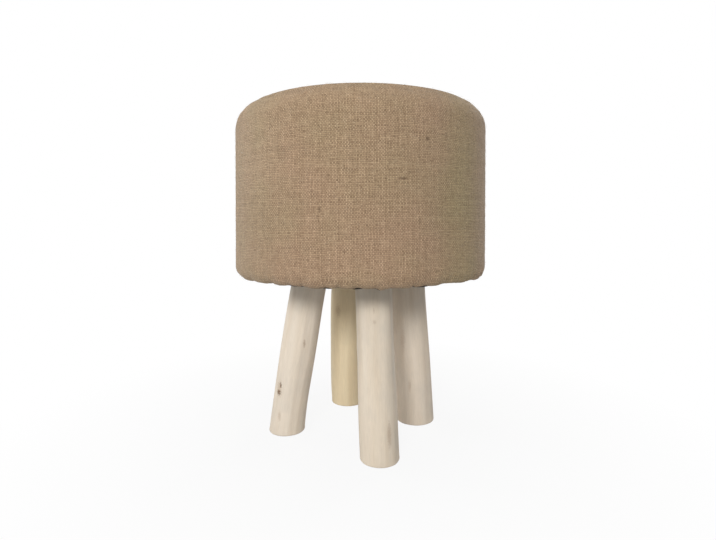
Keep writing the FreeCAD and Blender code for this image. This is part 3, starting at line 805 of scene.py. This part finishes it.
def makeUnderCloth(material, bandPoints):
    # The cloth lies on the board out to the hem's raw edge, then on the hem, whose height the band's points
    # give. Away from legs and hem it sags.
    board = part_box("dust_cover")[1].z
    turn = turnsRound(jute["aroundCount"], jute["backSeamTurn"])
    coarseEnd, fineStart = (hemRawReach - inside for inside in underCloth["rowsMeet"])
    reach = np.append(np.linspace(1.5 * mm, coarseEnd, underCloth["innerRows"]),
                      np.linspace(fineStart, underRim, underCloth["outerRows"]))[:, None]
    along = np.clip((reach[:, 0] - hemRawReach) / (hemEdgeReach - hemRawReach), 0, 0.999)
    along = along * (jute["hemRows"] - 1)
    row = along.astype(int)
    share = (along - row)[:, None]
    hem = bandPoints[row, :, 2] * (1 - share) + bandPoints[row + 1, :, 2] * share - underCloth["hemGap"]
    stepStart, stepEnd = (hemRawReach - inside for inside in underCloth["stepDown"])
    under = board + (hem - board) * smoothStep(reach, stepStart, stepEnd)
    free = 1 - smoothStep(reach, hemRawReach - underCloth["sagFromHem"], hemRawReach - 5 * mm)
    for side in legSides:
        top, radius = legEnds(side)[1]
        away = np.hypot(reach * np.cos(turn) - top[0], reach * np.sin(turn) - top[1]) - radius
        free = free * smoothStep(away, 1.5 * mm, underCloth["sagFromLeg"])
    folds = 0.7 + 0.3 * seamlessWaves(turn, reach, 31, (3, 5, 8, 13), 60, 1)
    under = under - underCloth["sag"] * free * folds
    loose = seamlessWaves(turn, reach * 0, 33, range(9, 60, 5), 0, underCloth["ruffle"])
    loose = loose + underCloth["alwaysLoose"]
    for place, width, drop in underCloth["loosePlaces"]:
        loose = loose + bell(turnGap(turn, math.radians(place)) * underRim, width * mm) * drop * mm
    flap = smoothStep(reach, underStapleReach, underRim)
    under = under - np.clip(loose, 0, None) * flap * (1 - stapled(turn, reach))
    reach = reach + seamlessWaves(turn, reach * 0, 35, range(20, 110, 7), 0, underCloth["frayed"]) * flap
    upper = swing(reach, under, turn)[::-1]
    lower = upper - np.array([0, 0, underCloth["thickness"]])
    cloth = addGrid("under_cloth", upper, material, "dust_cover", lower)
    print("under cloth made")


# Shader helpers. Each finds its node tree from the sockets that it is given.

def give(socket, value):
    # Links another node's output, or sets a plain value; a colour gets its fourth channel
    if isinstance(value, bpy.types.NodeSocket):
        socket.id_data.links.new(value, socket)
    else:
        socket.default_value = (*value, 1) if socket.type == "RGBA" else value


def addNode(tree, kind, inputs, **settings):
    node = settle(tree.nodes.new(kind), **settings)
    for name, value in inputs.items():
        give(node.inputs[name], value)
    return node


def treeOf(values):
    return next(value.id_data for value in values if isinstance(value, bpy.types.NodeSocket))


def calc(operation, *values):
    node = addNode(treeOf(values), "ShaderNodeMath", dict(enumerate(values)), operation=operation)
    return node.outputs[0]


def times(first, second):
    return calc("MULTIPLY", first, second)


def minus(first, second):
    return calc("SUBTRACT", first, second)


def plus(first, *others):
    for other in others:
        first = calc("ADD", first, other)
    return first


def calcVector(operation, *values):
    # Vector arithmetic; a scale takes a number second, and a length comes back as a number
    inputs = dict(zip((0, 3 if operation == "SCALE" else 1), values))
    node = addNode(treeOf(values), "ShaderNodeVectorMath", inputs, operation=operation)
    return node.outputs[1 if operation == "LENGTH" else 0]


def combine(x, y, z):
    return addNode(treeOf((x, y, z)), "ShaderNodeCombineXYZ", {0: x, 1: y, 2: z}).outputs[0]


def split(vector):
    return addNode(vector.id_data, "ShaderNodeSeparateXYZ", {0: vector}).outputs


def remap(value, fromLow, fromHigh, toLow=0.0, toHigh=1.0):
    inputs = {"Value": value, "From Min": fromLow, "From Max": fromHigh, "To Min": toLow, "To Max": toHigh}
    return addNode(value.id_data, "ShaderNodeMapRange", inputs).outputs[0]


def noise(vector, scale, detail=2.0, roughness=0.5, output="Fac"):
    inputs = {"Vector": vector, "Scale": scale, "Detail": detail, "Roughness": roughness}
    return addNode(vector.id_data, "ShaderNodeTexNoise", inputs).outputs[output]


def mixColour(share, first, second, blend="MIX"):
    tree = treeOf((share, first, second))
    return addNode(tree, "ShaderNodeMix", {0: share, 6: first, 7: second}, data_type="RGBA",
                   blend_type=blend).outputs[2]


def tinted(colour, tint):
    return mixColour(1.0, colour, tint, "MULTIPLY")


def colourRamp(value, stops):
    node = addNode(value.id_data, "ShaderNodeValToRGB", {0: value})
    elements = node.color_ramp.elements
    while len(elements) < len(stops):
        elements.new(0.5)
    for element, (place, colour) in zip(elements, stops):
        element.position = place
        element.color = (*colour, 1)
    return node.outputs[0]


def newGroup(name, **inputs):
    # A shader node group whose inputs are named with their kinds
    tree = bpy.data.node_groups.new(name, "ShaderNodeTree")
    for label, kind in inputs.items():
        tree.interface.new_socket(label, in_out="INPUT", socket_type="NodeSocket" + kind)
    return tree, tree.nodes.new("NodeGroupInput").outputs


def closeGroup(tree, **results):
    # Each result becomes a number output
    for label in results:
        tree.interface.new_socket(label, in_out="OUTPUT", socket_type="NodeSocketFloat")
    addNode(tree, "NodeGroupOutput", results)
    return tree


def useGroup(group, **inputs):
    return addNode(inputs["Place"].id_data, "ShaderNodeGroup", inputs, node_tree=group).outputs


def newMaterial(name):
    # A material with one Principled shader, and the place on the object for its textures
    material = bpy.data.materials.new(name)
    material.use_nodes = True
    return material, material.node_tree.nodes.new("ShaderNodeTexCoord").outputs["Object"]


def setShader(material, bump, **inputs):
    # Fills the shader's inputs; a bump is its height, depth in metres and strength
    tree = material.node_tree
    if bump:
        bump = dict(zip(("Height", "Distance", "Strength"), bump))
        inputs["Normal"] = addNode(tree, "ShaderNodeBump", bump).outputs[0]
    for label, value in inputs.items():
        give(tree.nodes["Principled BSDF"].inputs[label.replace("_", " ")], value)
    return material


weaveShape = {
    # How the yarns wander: scale of the noise and how far it pushes them, in metres
    "wander": [(26, 0.0034), (210, 0.0008)],
    "offCentre": 0.16,
    "crimp": 0.35,
    # How thick and thin a yarn goes
    "slub": (0.78, 1.16),
    # What a yarn's tone takes from its own draw, its slubs and each crossing, then warp and weft apart
    "tone": (0.14, 0.62, 0.12),
    "toneLevel": 0.06,
    "toneApart": 0.09,
    "fibreRelief": 0.3,
    "strayRelief": 0.4,
}


def buildPlainWeave():
    # Plain weave on a flat place in metres. Each yarn is a round bar that rises and falls over its crossings
    # as a cosine, and the height is that of the higher yarn.
    tree, given = newGroup("plainWeave", Place="Vector", Pitch="Vector", Fullness="Float")
    shape = weaveShape
    place = moved = given["Place"]
    for scale, push in shape["wander"]:
        shift = calcVector("SUBTRACT", noise(place, scale, 1, output="Color"), (0.5, 0.5, 0.5))
        moved = calcVector("ADD", moved, calcVector("SCALE", shift, push))
    across, up, _ = split(calcVector("DIVIDE", moved, given["Pitch"]))
    column, row = calc("FLOOR", across), calc("FLOOR", up)

    def whiteNoise(**inputs):
        kind = "1D" if "W" in inputs else "3D"
        return addNode(tree, "ShaderNodeTexWhiteNoise", inputs, noise_dimensions=kind).outputs["Value"]

    def yarn(own, other, index, otherIndex, salt, sign):
        draw = whiteNoise(W=plus(index, salt))
        off = plus(minus(minus(own, index), 0.5), times(minus(draw, 0.5), shape["offCentre"]))
        lengthwise = combine(times(other, 0.21), times(index, 3.7), salt)
        slub = noise(lengthwise, 1.0, 3, 0.6)
        fleck = remap(noise(calcVector("ADD", lengthwise, (31.0, 17.0, 5.0)), 1.4, 0), 0.70, 0.80)
        bar = calc("DIVIDE", off, times(given["Fullness"], remap(slub, 0.25, 0.75, *shape["slub"])))
        bar = calc("SQRT", calc("MAXIMUM", minus(1.0, times(bar, bar)), 0.0))
        phase = times(plus(other, -0.5, index), math.pi)
        height = times(bar, plus(times(calc("COSINE", phase), shape["crimp"] * sign), 1 - shape["crimp"]))
        streak = combine(plus(times(own, 8.0), times(other, 2.2)), times(other, 0.8), salt)
        speck = whiteNoise(Vector=combine(index, otherIndex, salt))
        parts = [times(part, share) for part, share in zip((draw, slub, speck), shape["tone"])]
        tone = plus(*parts, shape["toneLevel"] + shape["toneApart"] * sign)
        return height, tone, noise(streak, 1.0, 4, 0.65), fleck

    warp = yarn(across, up, column, row, 0.5, 1)
    weft = yarn(up, across, row, column, 57.5, -1)
    top = calc("MAXIMUM", warp[0], weft[0])
    warpOnTop = calc("GREATER_THAN", warp[0], weft[0])
    tone, fibre, fleck = (addNode(tree, "ShaderNodeMix", {0: warpOnTop, 2: below, 3: above}).outputs[0]
                          for below, above in zip(weft[1:], warp[1:]))
    # Stray fibres lie where a slow noise crosses its middle, so they run on as thin curling lines
    curl = calc("ABSOLUTE", minus(noise(place, 330, 1, 0.5), 0.5))
    stray = times(remap(curl, 0.012, 0.0), remap(noise(place, 90, 1), 0.48, 0.6))
    height = plus(top, times(fibre, shape["fibreRelief"]), times(stray, shape["strayRelief"]))
    return closeGroup(tree, Height=height, Tone=tone, Fibre=fibre, Fleck=fleck, Stray=stray,
                      Cover=remap(top, 0.12, 0.78))


def buildMark():
    # A soft-edged spot round a place, stretched by Size, its edge roughened by noise
    tree, given = newGroup("mark", Place="Vector", Centre="Vector", Size="Vector", Raggedness="Float")
    away = calcVector("DIVIDE", calcVector("SUBTRACT", given["Place"], given["Centre"]), given["Size"])
    ragged = times(minus(noise(given["Place"], 700), 0.5), times(given["Raggedness"], 4.0))
    return closeGroup(tree, Mask=remap(plus(calcVector("LENGTH", away), ragged), 1.15, 0.35))


def buildGrain():
    # Long grain up the Z of a place: broad patches, streaks and fine fibre, from noise drawn out lengthwise
    tree, given = newGroup("longGrain", Place="Vector", Stretch="Float", Fineness="Float")
    place, fineness = given["Place"], given["Fineness"]
    drawn = calcVector("MULTIPLY", place, combine(1.0, 1.0, calc("DIVIDE", 1.0, given["Stretch"])))
    return closeGroup(tree, Patch=noise(place, 26), Streak=noise(drawn, fineness, 3, 0.55),
                      Fibre=noise(drawn, times(fineness, 14.0), 2, 0.6))


plainWeave = buildPlainWeave()
mark = buildMark()
longGrain = buildGrain()


def spot(place, centre, size, raggedness=0.35):
    return useGroup(mark, Place=place, Centre=centre, Size=size, Raggedness=raggedness)["Mask"]


juteFinish = {
    "pitch": (0.00148, 0.00172, 1.0),
    "fullness": 0.45,
    "dark": (0.3, 0.198, 0.125),
    "mid": (0.45, 0.309, 0.201),
    "light": (0.604, 0.434, 0.297),
    "stray": (0.6, 0.465, 0.335),
    # Dark brown painted into the gaps between yarns as their shade; the flaws take this colour too
    "between": (0.15, 0.095, 0.058),
    "fleck": (0.2, 0.13, 0.08),
    # Where dark, mid and light lie on the yarns' tone, and how far fibre, flecks and stray fibres change it
    "tonePlaces": (0.24, 0.50, 0.78),
    "fibreTones": (0.67, 1.30),
    "fleckShare": 0.55,
    "strayShare": 0.45,
    # Slow drift of the dye: some places greener, some rosier
    "greener": (0.965, 1.0, 0.93),
    "rosier": (1.015, 0.998, 0.968),
    # Broad tinted patches: centre, size along x, y and z in metres, tint
    "tintPatches": [
        ((0.079, -0.133, 0.27), (0.038, 0.038, 0.17), (0.975, 1.045, 0.945)),
        # Painted light: this patch lightens the right rim, as if light from the right fell on it
        ((0.128, -0.087, 0.27), (0.034, 0.034, 0.16), (1.07, 1.065, 1.09)),
        ((-0.132, -0.078, 0.34), (0.05, 0.05, 0.06), (1.055, 1.085, 1.085)),
    ],
    # Flaws in the cloth: centre, size along x, y and z in metres, darkness
    "flaws": [
        ((0.0311, -0.1519, 0.3444), (0.0026, 0.004, 0.0024), 0.85),
        ((0.0046, -0.1549, 0.3045), (0.0065, 0.004, 0.0014), 0.80),
        ((-0.0746, -0.1359, 0.2747), (0.0015, 0.004, 0.0036), 0.70),
        ((-0.1072, -0.1119, 0.3313), (0.009, 0.009, 0.007), 0.20),
        ((-0.052, -0.146, 0.233), (0.0014, 0.003, 0.0018), 0.60),
        ((0.09, 0.1262, 0.32), (0.005, 0.006, 0.0012), 0.45),
        ((-0.101, 0.1176, 0.26), (0.002, 0.003, 0.002), 0.45),
    ],
}


def makeJuteMaterial():
    finish = juteFinish
    material, solid = newMaterial("jute weave")
    cloth = addNode(material.node_tree, "ShaderNodeUVMap", {}, uv_map="cloth").outputs[0]
    weave = useGroup(plainWeave, Place=cloth, Pitch=finish["pitch"], Fullness=finish["fullness"])
    tones = (finish["dark"], finish["mid"], finish["light"])
    colour = colourRamp(weave["Tone"], list(zip(finish["tonePlaces"], tones)))
    colour = mixColour(times(weave["Fleck"], finish["fleckShare"]), colour, finish["fleck"])
    colour = tinted(colour, remap(weave["Fibre"], 0.28, 0.72, *finish["fibreTones"]))
    # Painted shade: where the yarns leave gaps, the colour falls to dark brown as if the gaps lay in shadow
    colour = mixColour(weave["Cover"], finish["between"], colour)
    colour = mixColour(times(weave["Stray"], finish["strayShare"]), colour, finish["stray"])
    drift = colourRamp(noise(solid, 17, 3), [(0.35, finish["greener"]), (0.65, finish["rosier"])])
    colour = tinted(colour, drift)
    # Broad tinted patches over the cloth; the second is painted light on the right rim
    for centre, size, tint in finish["tintPatches"]:
        colour = mixColour(spot(solid, centre, size, 0.1), colour, tinted(colour, tint))
    for centre, size, darkness in finish["flaws"]:
        colour = mixColour(times(spot(solid, centre, size), darkness), colour, finish["between"])
    return setShader(material, (weave["Height"], 0.0006, 0.75), Base_Color=colour, Roughness=0.93,
                     Sheen_Weight=0.22, Sheen_Roughness=0.45, Sheen_Tint=(0.86, 0.84, 0.76),
                     Specular_IOR_Level=0.2)


woodFinish = {
    "pale": (0.8, 0.715, 0.61),
    "warm": (0.715, 0.615, 0.495),
    "grey": (0.66, 0.605, 0.53),
    "knot": (0.105, 0.062, 0.038),
    "stain": (0.36, 0.23, 0.135),
    "ringWidth": 0.0024,
    "pithOff": (0.002, -0.0015, 0.0),
    # How strongly grey patches, growth rings and the saw's marks show
    "greyShare": 0.55,
    "ringShare": 0.26,
    "sawShare": 0.22,
    # Tint of each leg, where its grain starts in the noise, and its marks: centre, size along x, y and z in
    # metres, strength, "knot" or "stain"
    "legs": {
        "front": {"tint": (0.99, 0.97, 0.93), "grain": (1.55, 0.1734, 0.0), "marks": [
            ((-0.0065, -0.0887, 0.1631), (0.001, 0.004, 0.004), 0.25, "stain"),
            ((-0.0064, -0.0907, 0.1513), (0.0022, 0.004, 0.0026), 0.25, "stain"),
            ((0.0051, -0.1098, 0.0327), (0.0028, 0.006, 0.015), 0.42, "stain"),
            ((-0.012, -0.108, 0.08), (0.002, 0.004, 0.012), 0.20, "stain"),
        ]},
        "right": {"tint": (0.995, 0.965, 0.93), "grain": (1.55, 0.1938, 0.0), "marks": [
            ((0.052, -0.018, 0.11), (0.003, 0.006, 0.018), 0.25, "stain"),
            ((0.06, -0.021, 0.05), (0.002, 0.005, 0.008), 0.25, "stain"),
        ]},
        # The back leg's tint is painted light: lighter and yellower than the others, it makes up for the
        # light that the seat keeps off that leg
        "back": {"tint": (1.12, 1.055, 0.85), "grain": (1.24, 0.1666, 0.0), "marks": [
            ((-0.0182, 0.0541, 0.1384), (0.004, 0.006, 0.01), 0.40, "stain"),
            ((0.01, 0.048, 0.06), (0.003, 0.006, 0.012), 0.25, "stain"),
        ]},
        "left": {"tint": (1.04, 1.02, 0.99), "grain": (1.24, 0.1836, 0.0), "marks": [
            ((-0.1023, -0.0077, 0.0613), (0.0015, 0.003, 0.0042), 0.95, "knot"),
            ((-0.1041, -0.0067, 0.0525), (0.003, 0.004, 0.0038), 1.0, "knot"),
            ((-0.1036, -0.0066, 0.0566), (0.0038, 0.005, 0.011), 0.40, "stain"),
            ((-0.0748, -0.019, 0.113), (0.0016, 0.004, 0.006), 0.55, "stain"),
            ((-0.1044, -0.0102, 0.0242), (0.0022, 0.004, 0.0075), 0.30, "stain"),
        ]},
    },
}


def makeLegMaterial(side):
    finish, leg = woodFinish, woodFinish["legs"][side]
    material, solid = newMaterial("peeled branch " + side)
    place, sawn = (addNode(solid.id_data, "ShaderNodeAttribute", {}, attribute_name=name).outputs[output]
                   for name, output in (("branchPlace", "Vector"), ("sawnEnd", "Fac")))
    grain = useGroup(longGrain, Place=calcVector("ADD", place, leg["grain"]), Stretch=14.0, Fineness=95.0)
    colour = mixColour(remap(grain["Streak"], 0.36, 0.78), finish["pale"], finish["warm"])
    colour = mixColour(remap(grain["Patch"], 0.52, 0.78, 0.0, finish["greyShare"]), colour, finish["grey"])
    colour = tinted(colour, remap(grain["Fibre"], 0.3, 0.7, 0.95, 1.04))
    # The sawn ends: growth rings about the pith, a little off its middle, and marks of the saw
    flat = calcVector("MULTIPLY", calcVector("ADD", place, finish["pithOff"]), (1.0, 1.0, 0.0))
    fromPith = plus(calcVector("LENGTH", flat), times(noise(place, 120), 0.002))
    rings = remap(calc("SINE", times(fromPith, fullTurn / finish["ringWidth"])), 0.1, 1.0)
    saw = noise(calcVector("MULTIPLY", place, (160.0, 1300.0, 1.0)), 1.0)
    endColour = mixColour(times(rings, finish["ringShare"]), finish["pale"], finish["stain"])
    endColour = mixColour(remap(saw, 0.5, 0.75, 0.0, finish["sawShare"]), endColour, finish["stain"])
    colour = mixColour(sawn, colour, endColour)
    depth = times(grain["Fibre"], 0.5)
    for centre, size, strength, kind in leg["marks"]:
        mask = spot(solid, centre, size)
        colour = mixColour(times(mask, strength), colour, finish[kind])
        if kind == "knot":
            depth = minus(depth, mask)
    roughness = remap(grain["Streak"], 0.3, 0.7, 0.62, 0.78)
    return setShader(material, (plus(depth, grain["Streak"]), 0.00035, 0.6), Roughness=roughness,
                     Base_Color=tinted(colour, leg["tint"]), Specular_IOR_Level=0.3)


# slot: name, tones of the face and of the dark grain, how long the grain runs, and a ply's thickness
boardFinishes = {
    "plywood": ("plywood", (0.66, 0.50, 0.31), (0.50, 0.345, 0.195), 16.0, 0.0015),
    "sawn_wood": ("sawn softwood", (0.72, 0.56, 0.36), (0.56, 0.39, 0.22), 22.0),
}


def makeBoardWood(name, face, dark, stretch, ply=None):
    # Sawn wood or, with a ply thickness, plywood, whose sides show stacked layers
    material, place = newMaterial(name)
    x, y, z = split(place)
    turned = combine(z, y, x) if ply else place
    grain = useGroup(longGrain, Place=turned, Stretch=stretch, Fineness=70.0)
    colour = mixColour(remap(grain["Streak"], 0.35, 0.7), face, dark)
    if ply:
        layers = mixColour(calc("MODULO", calc("FLOOR", calc("DIVIDE", z, ply)), 2.0), dark, face)
        facing = split(material.node_tree.nodes.new("ShaderNodeNewGeometry").outputs["Normal"])[2]
        colour = mixColour(remap(calc("ABSOLUTE", facing), 0.6, 0.3), colour, layers)
    return setShader(material, (grain["Fibre"], 0.0003, 0.5), Base_Color=colour, Roughness=0.7,
                     Specular_IOR_Level=0.3)


underFinish = {
    "dark": (0.008, 0.008, 0.009),
    "light": (0.034, 0.034, 0.036),
    "pressed": (0.006, 0.006, 0.006),
    "dust": (0.30, 0.27, 0.23),
    "dustShare": 0.12,
    "pitch": 0.0019,
}


def makeUnderMaterial():
    # Spun-bonded cloth: fibres laid every way and a lattice of small pressed points
    finish = underFinish
    material, place = newMaterial("black spunbond")
    x, y, _ = split(place)
    across, along = (calc("COSINE", times(way, fullTurn / finish["pitch"])) for way in (x, y))
    pressed = remap(times(across, along), 0.45, 0.8)
    fibres = noise(place, 1500, 3, 0.7)
    dusty = remap(noise(place, 45, 3), 0.5, 0.8, 0.0, finish["dustShare"])
    colour = mixColour(fibres, finish["dark"], finish["light"])
    colour = mixColour(times(pressed, 0.5), colour, finish["pressed"])
    colour = mixColour(dusty, colour, finish["dust"])
    roughness = remap(pressed, 0.0, 1.0, 0.85, 0.55)
    return setShader(material, (minus(fibres, pressed), 0.0002, 0.7), Base_Color=colour, Roughness=roughness,
                     Specular_IOR_Level=0.35, Sheen_Weight=0.1, Sheen_Roughness=0.5)


threadShader = {"Roughness": 0.85, "Specular_IOR_Level": 0.25, "Sheen_Weight": 0.15}

# Finishes from one texture: its noise's scale, detail and roughness (a scale alone means round cells), two
# places on it and their tones, the bump's depth in metres and strength, and the shader's inputs. A pair of
# roughnesses lies over the same noise.
speckledFinishes = {
    "seam thread": ((380, 3), (0.35, 0.65), (0.3, 0.21, 0.13), (0.44, 0.32, 0.21), None, threadShader),
    "loose jute fibre": ((380, 3), (0.35, 0.65), (0.46, 0.33, 0.215), (0.66, 0.52, 0.37), None,
                         threadShader),
    "wadding": ((420, 4, 0.7), (0.3, 0.7), (0.72, 0.72, 0.69), (0.90, 0.90, 0.87), (0.0008, 0.8),
                {"Roughness": 1.0, "Sheen_Weight": 0.3, "Specular_IOR_Level": 0.1}),
    "foam": ((1400,), (0.1, 0.6), (0.55, 0.46, 0.26), (0.86, 0.78, 0.54), (0.0004, 0.6),
             {"Roughness": 0.95, "Specular_IOR_Level": 0.1}),
    "hardboard": ((900, 3), (0.35, 0.65), (0.22, 0.125, 0.065), (0.36, 0.215, 0.12), (0.0002, 0.4),
                  {"Roughness": 0.6}),
    "zinc plate": ((320, 4, 0.65), (0.45, 0.75), (0.66, 0.66, 0.63), (0.475, 0.475, 0.454), (0.00005, 0.3),
                   {"Roughness": (0.3, 0.52), "Metallic": 1.0}),
    "staple wire": ((320, 4, 0.65), (0.45, 0.75), (0.62, 0.62, 0.62), (0.446, 0.446, 0.446), (0.00005, 0.3),
                    {"Roughness": (0.35, 0.57), "Metallic": 1.0}),
}


def makeSpeckled(name):
    texture, places, first, second, bump, inputs = speckledFinishes[name]
    material, place = newMaterial(name)
    if len(texture) == 1:
        cells = {"Vector": place, "Scale": texture[0]}
        speck = addNode(material.node_tree, "ShaderNodeTexVoronoi", cells).outputs["Distance"]
    else:
        speck = noise(place, *texture)
    roughness = inputs["Roughness"]
    if isinstance(roughness, tuple):
        roughness = remap(speck, 0.3, 0.7, *roughness)
    colour = colourRamp(speck, list(zip(places, (first, second))))
    inputs = {**inputs, "Roughness": roughness, "Base_Color": colour}
    return setShader(material, bump and (speck, *bump), **inputs)


def dressNodes():
    # Nodes that stay as they are get the finish of what they are made of
    finishes = {slot: makeBoardWood(*values) for slot, values in boardFinishes.items()}
    speckled = {"hardboard": "hardboard", "zinc_steel": "zinc plate", "staple_wire": "staple wire"}
    finishes.update({slot: makeSpeckled(name) for slot, name in speckled.items()})
    for subpart in frame["record"]["subparts"]:
        finish = finishes.get(subpart["material_slot"])
        if finish:
            for place in frame["nodes"][subpart["node"]].material_slots:
                place.material = finish
    print("nodes dressed")


# Floor and light

studio = {
    "floorSize": 12.0,
    "floorColour": (0.61, 0.61, 0.61),
    "shadowShare": 0.09,
    "shadowNear": 0.12,
    "shadowFar": 0.45,
    "worldLight": 0.27,
    # name: (place, size, power in watts)
    "lamps": {
        "key": ((-1.020, -1.766, 1.044), 0.55, 20.5),
        "front": ((-0.354, -2.009, 1.044), 0.55, 8.0),
        "above": ((-0.150, -0.100, 1.900), 1.2, 4.5),
        "left": ((-1.753, -0.638, 1.386), 0.9, 3.5),
        "backLeft": ((-1.628, 1.366, 0.789), 0.9, 13.0),
        "backRight": ((1.628, 1.366, 0.789), 0.9, 16.0),
    },
    "aim": (0.0, 0.0, 0.22),
}


def seenDirectly(tree):
    # 1 to the camera and in gloss or glass, 0 to other light
    seen = tree.nodes.new("ShaderNodeLightPath").outputs
    direct = calc("MAXIMUM", seen["Is Camera Ray"], seen["Is Glossy Ray"])
    return calc("MAXIMUM", direct, seen["Is Transmission Ray"])


def makeStudio():
    half = studio["floorSize"] / 2
    mesh = bpy.data.meshes.new("floor")
    corners = [(-half, -half, 0), (half, -half, 0), (half, half, 0), (-half, half, 0)]
    mesh.from_pydata(corners, [], [(0, 1, 2, 3)])
    floor = addObject("floor", mesh)
    # The floor looks white, with a faint shadow near the stool, and lights the stool like a matt grey one
    material, place = newMaterial("white floor")
    tree = material.node_tree
    matt = addNode(tree, "ShaderNodeBsdfDiffuse", {"Color": studio["floorColour"]}).outputs[0]
    white = addNode(tree, "ShaderNodeEmission", {"Color": (1, 1, 1)}).outputs[0]
    share = remap(calcVector("LENGTH", place), studio["shadowNear"], studio["shadowFar"],
                  1 - studio["shadowShare"], 1.0)
    mixed = addNode(tree, "ShaderNodeMixShader", {0: times(seenDirectly(tree), share), 1: matt, 2: white})
    tree.nodes.remove(tree.nodes["Principled BSDF"])
    give(tree.nodes["Material Output"].inputs["Surface"], mixed.outputs[0])
    mesh.materials.append(material)

    scene.world = bpy.data.worlds.new("studio")
    scene.world.use_nodes = True
    tree = scene.world.node_tree
    background = tree.nodes["Background"].inputs
    give(background["Color"], (1, 1, 1))
    give(background["Strength"], remap(seenDirectly(tree), 0.0, 1.0, studio["worldLight"], 1.0))

    for name, (place, size, power) in studio["lamps"].items():
        light = settle(bpy.data.lights.new(name, "AREA"), shape="DISK", size=size, energy=power)
        lamp = addObject(name, light)
        lamp.location = place
        x, y, z = np.array(studio["aim"]) - np.array(place)
        lamp.rotation_euler = (math.atan2(math.hypot(x, y), -z), 0, math.atan2(-x, y))
    scene.view_settings.view_transform = "Standard"
    print("studio lit")


placeCamera()
bandCover, panelCover = makeJute(makeJuteMaterial())
makeThreads(bandCover["points"], panelCover["points"])
makePadding(bandCover, panelCover)
for number, side in enumerate(legSides):
    makeLeg(side, 40 + number, makeLegMaterial(side))
makeUnderCloth(makeUnderMaterial(), bandCover["points"])
dressNodes()
makeStudio()
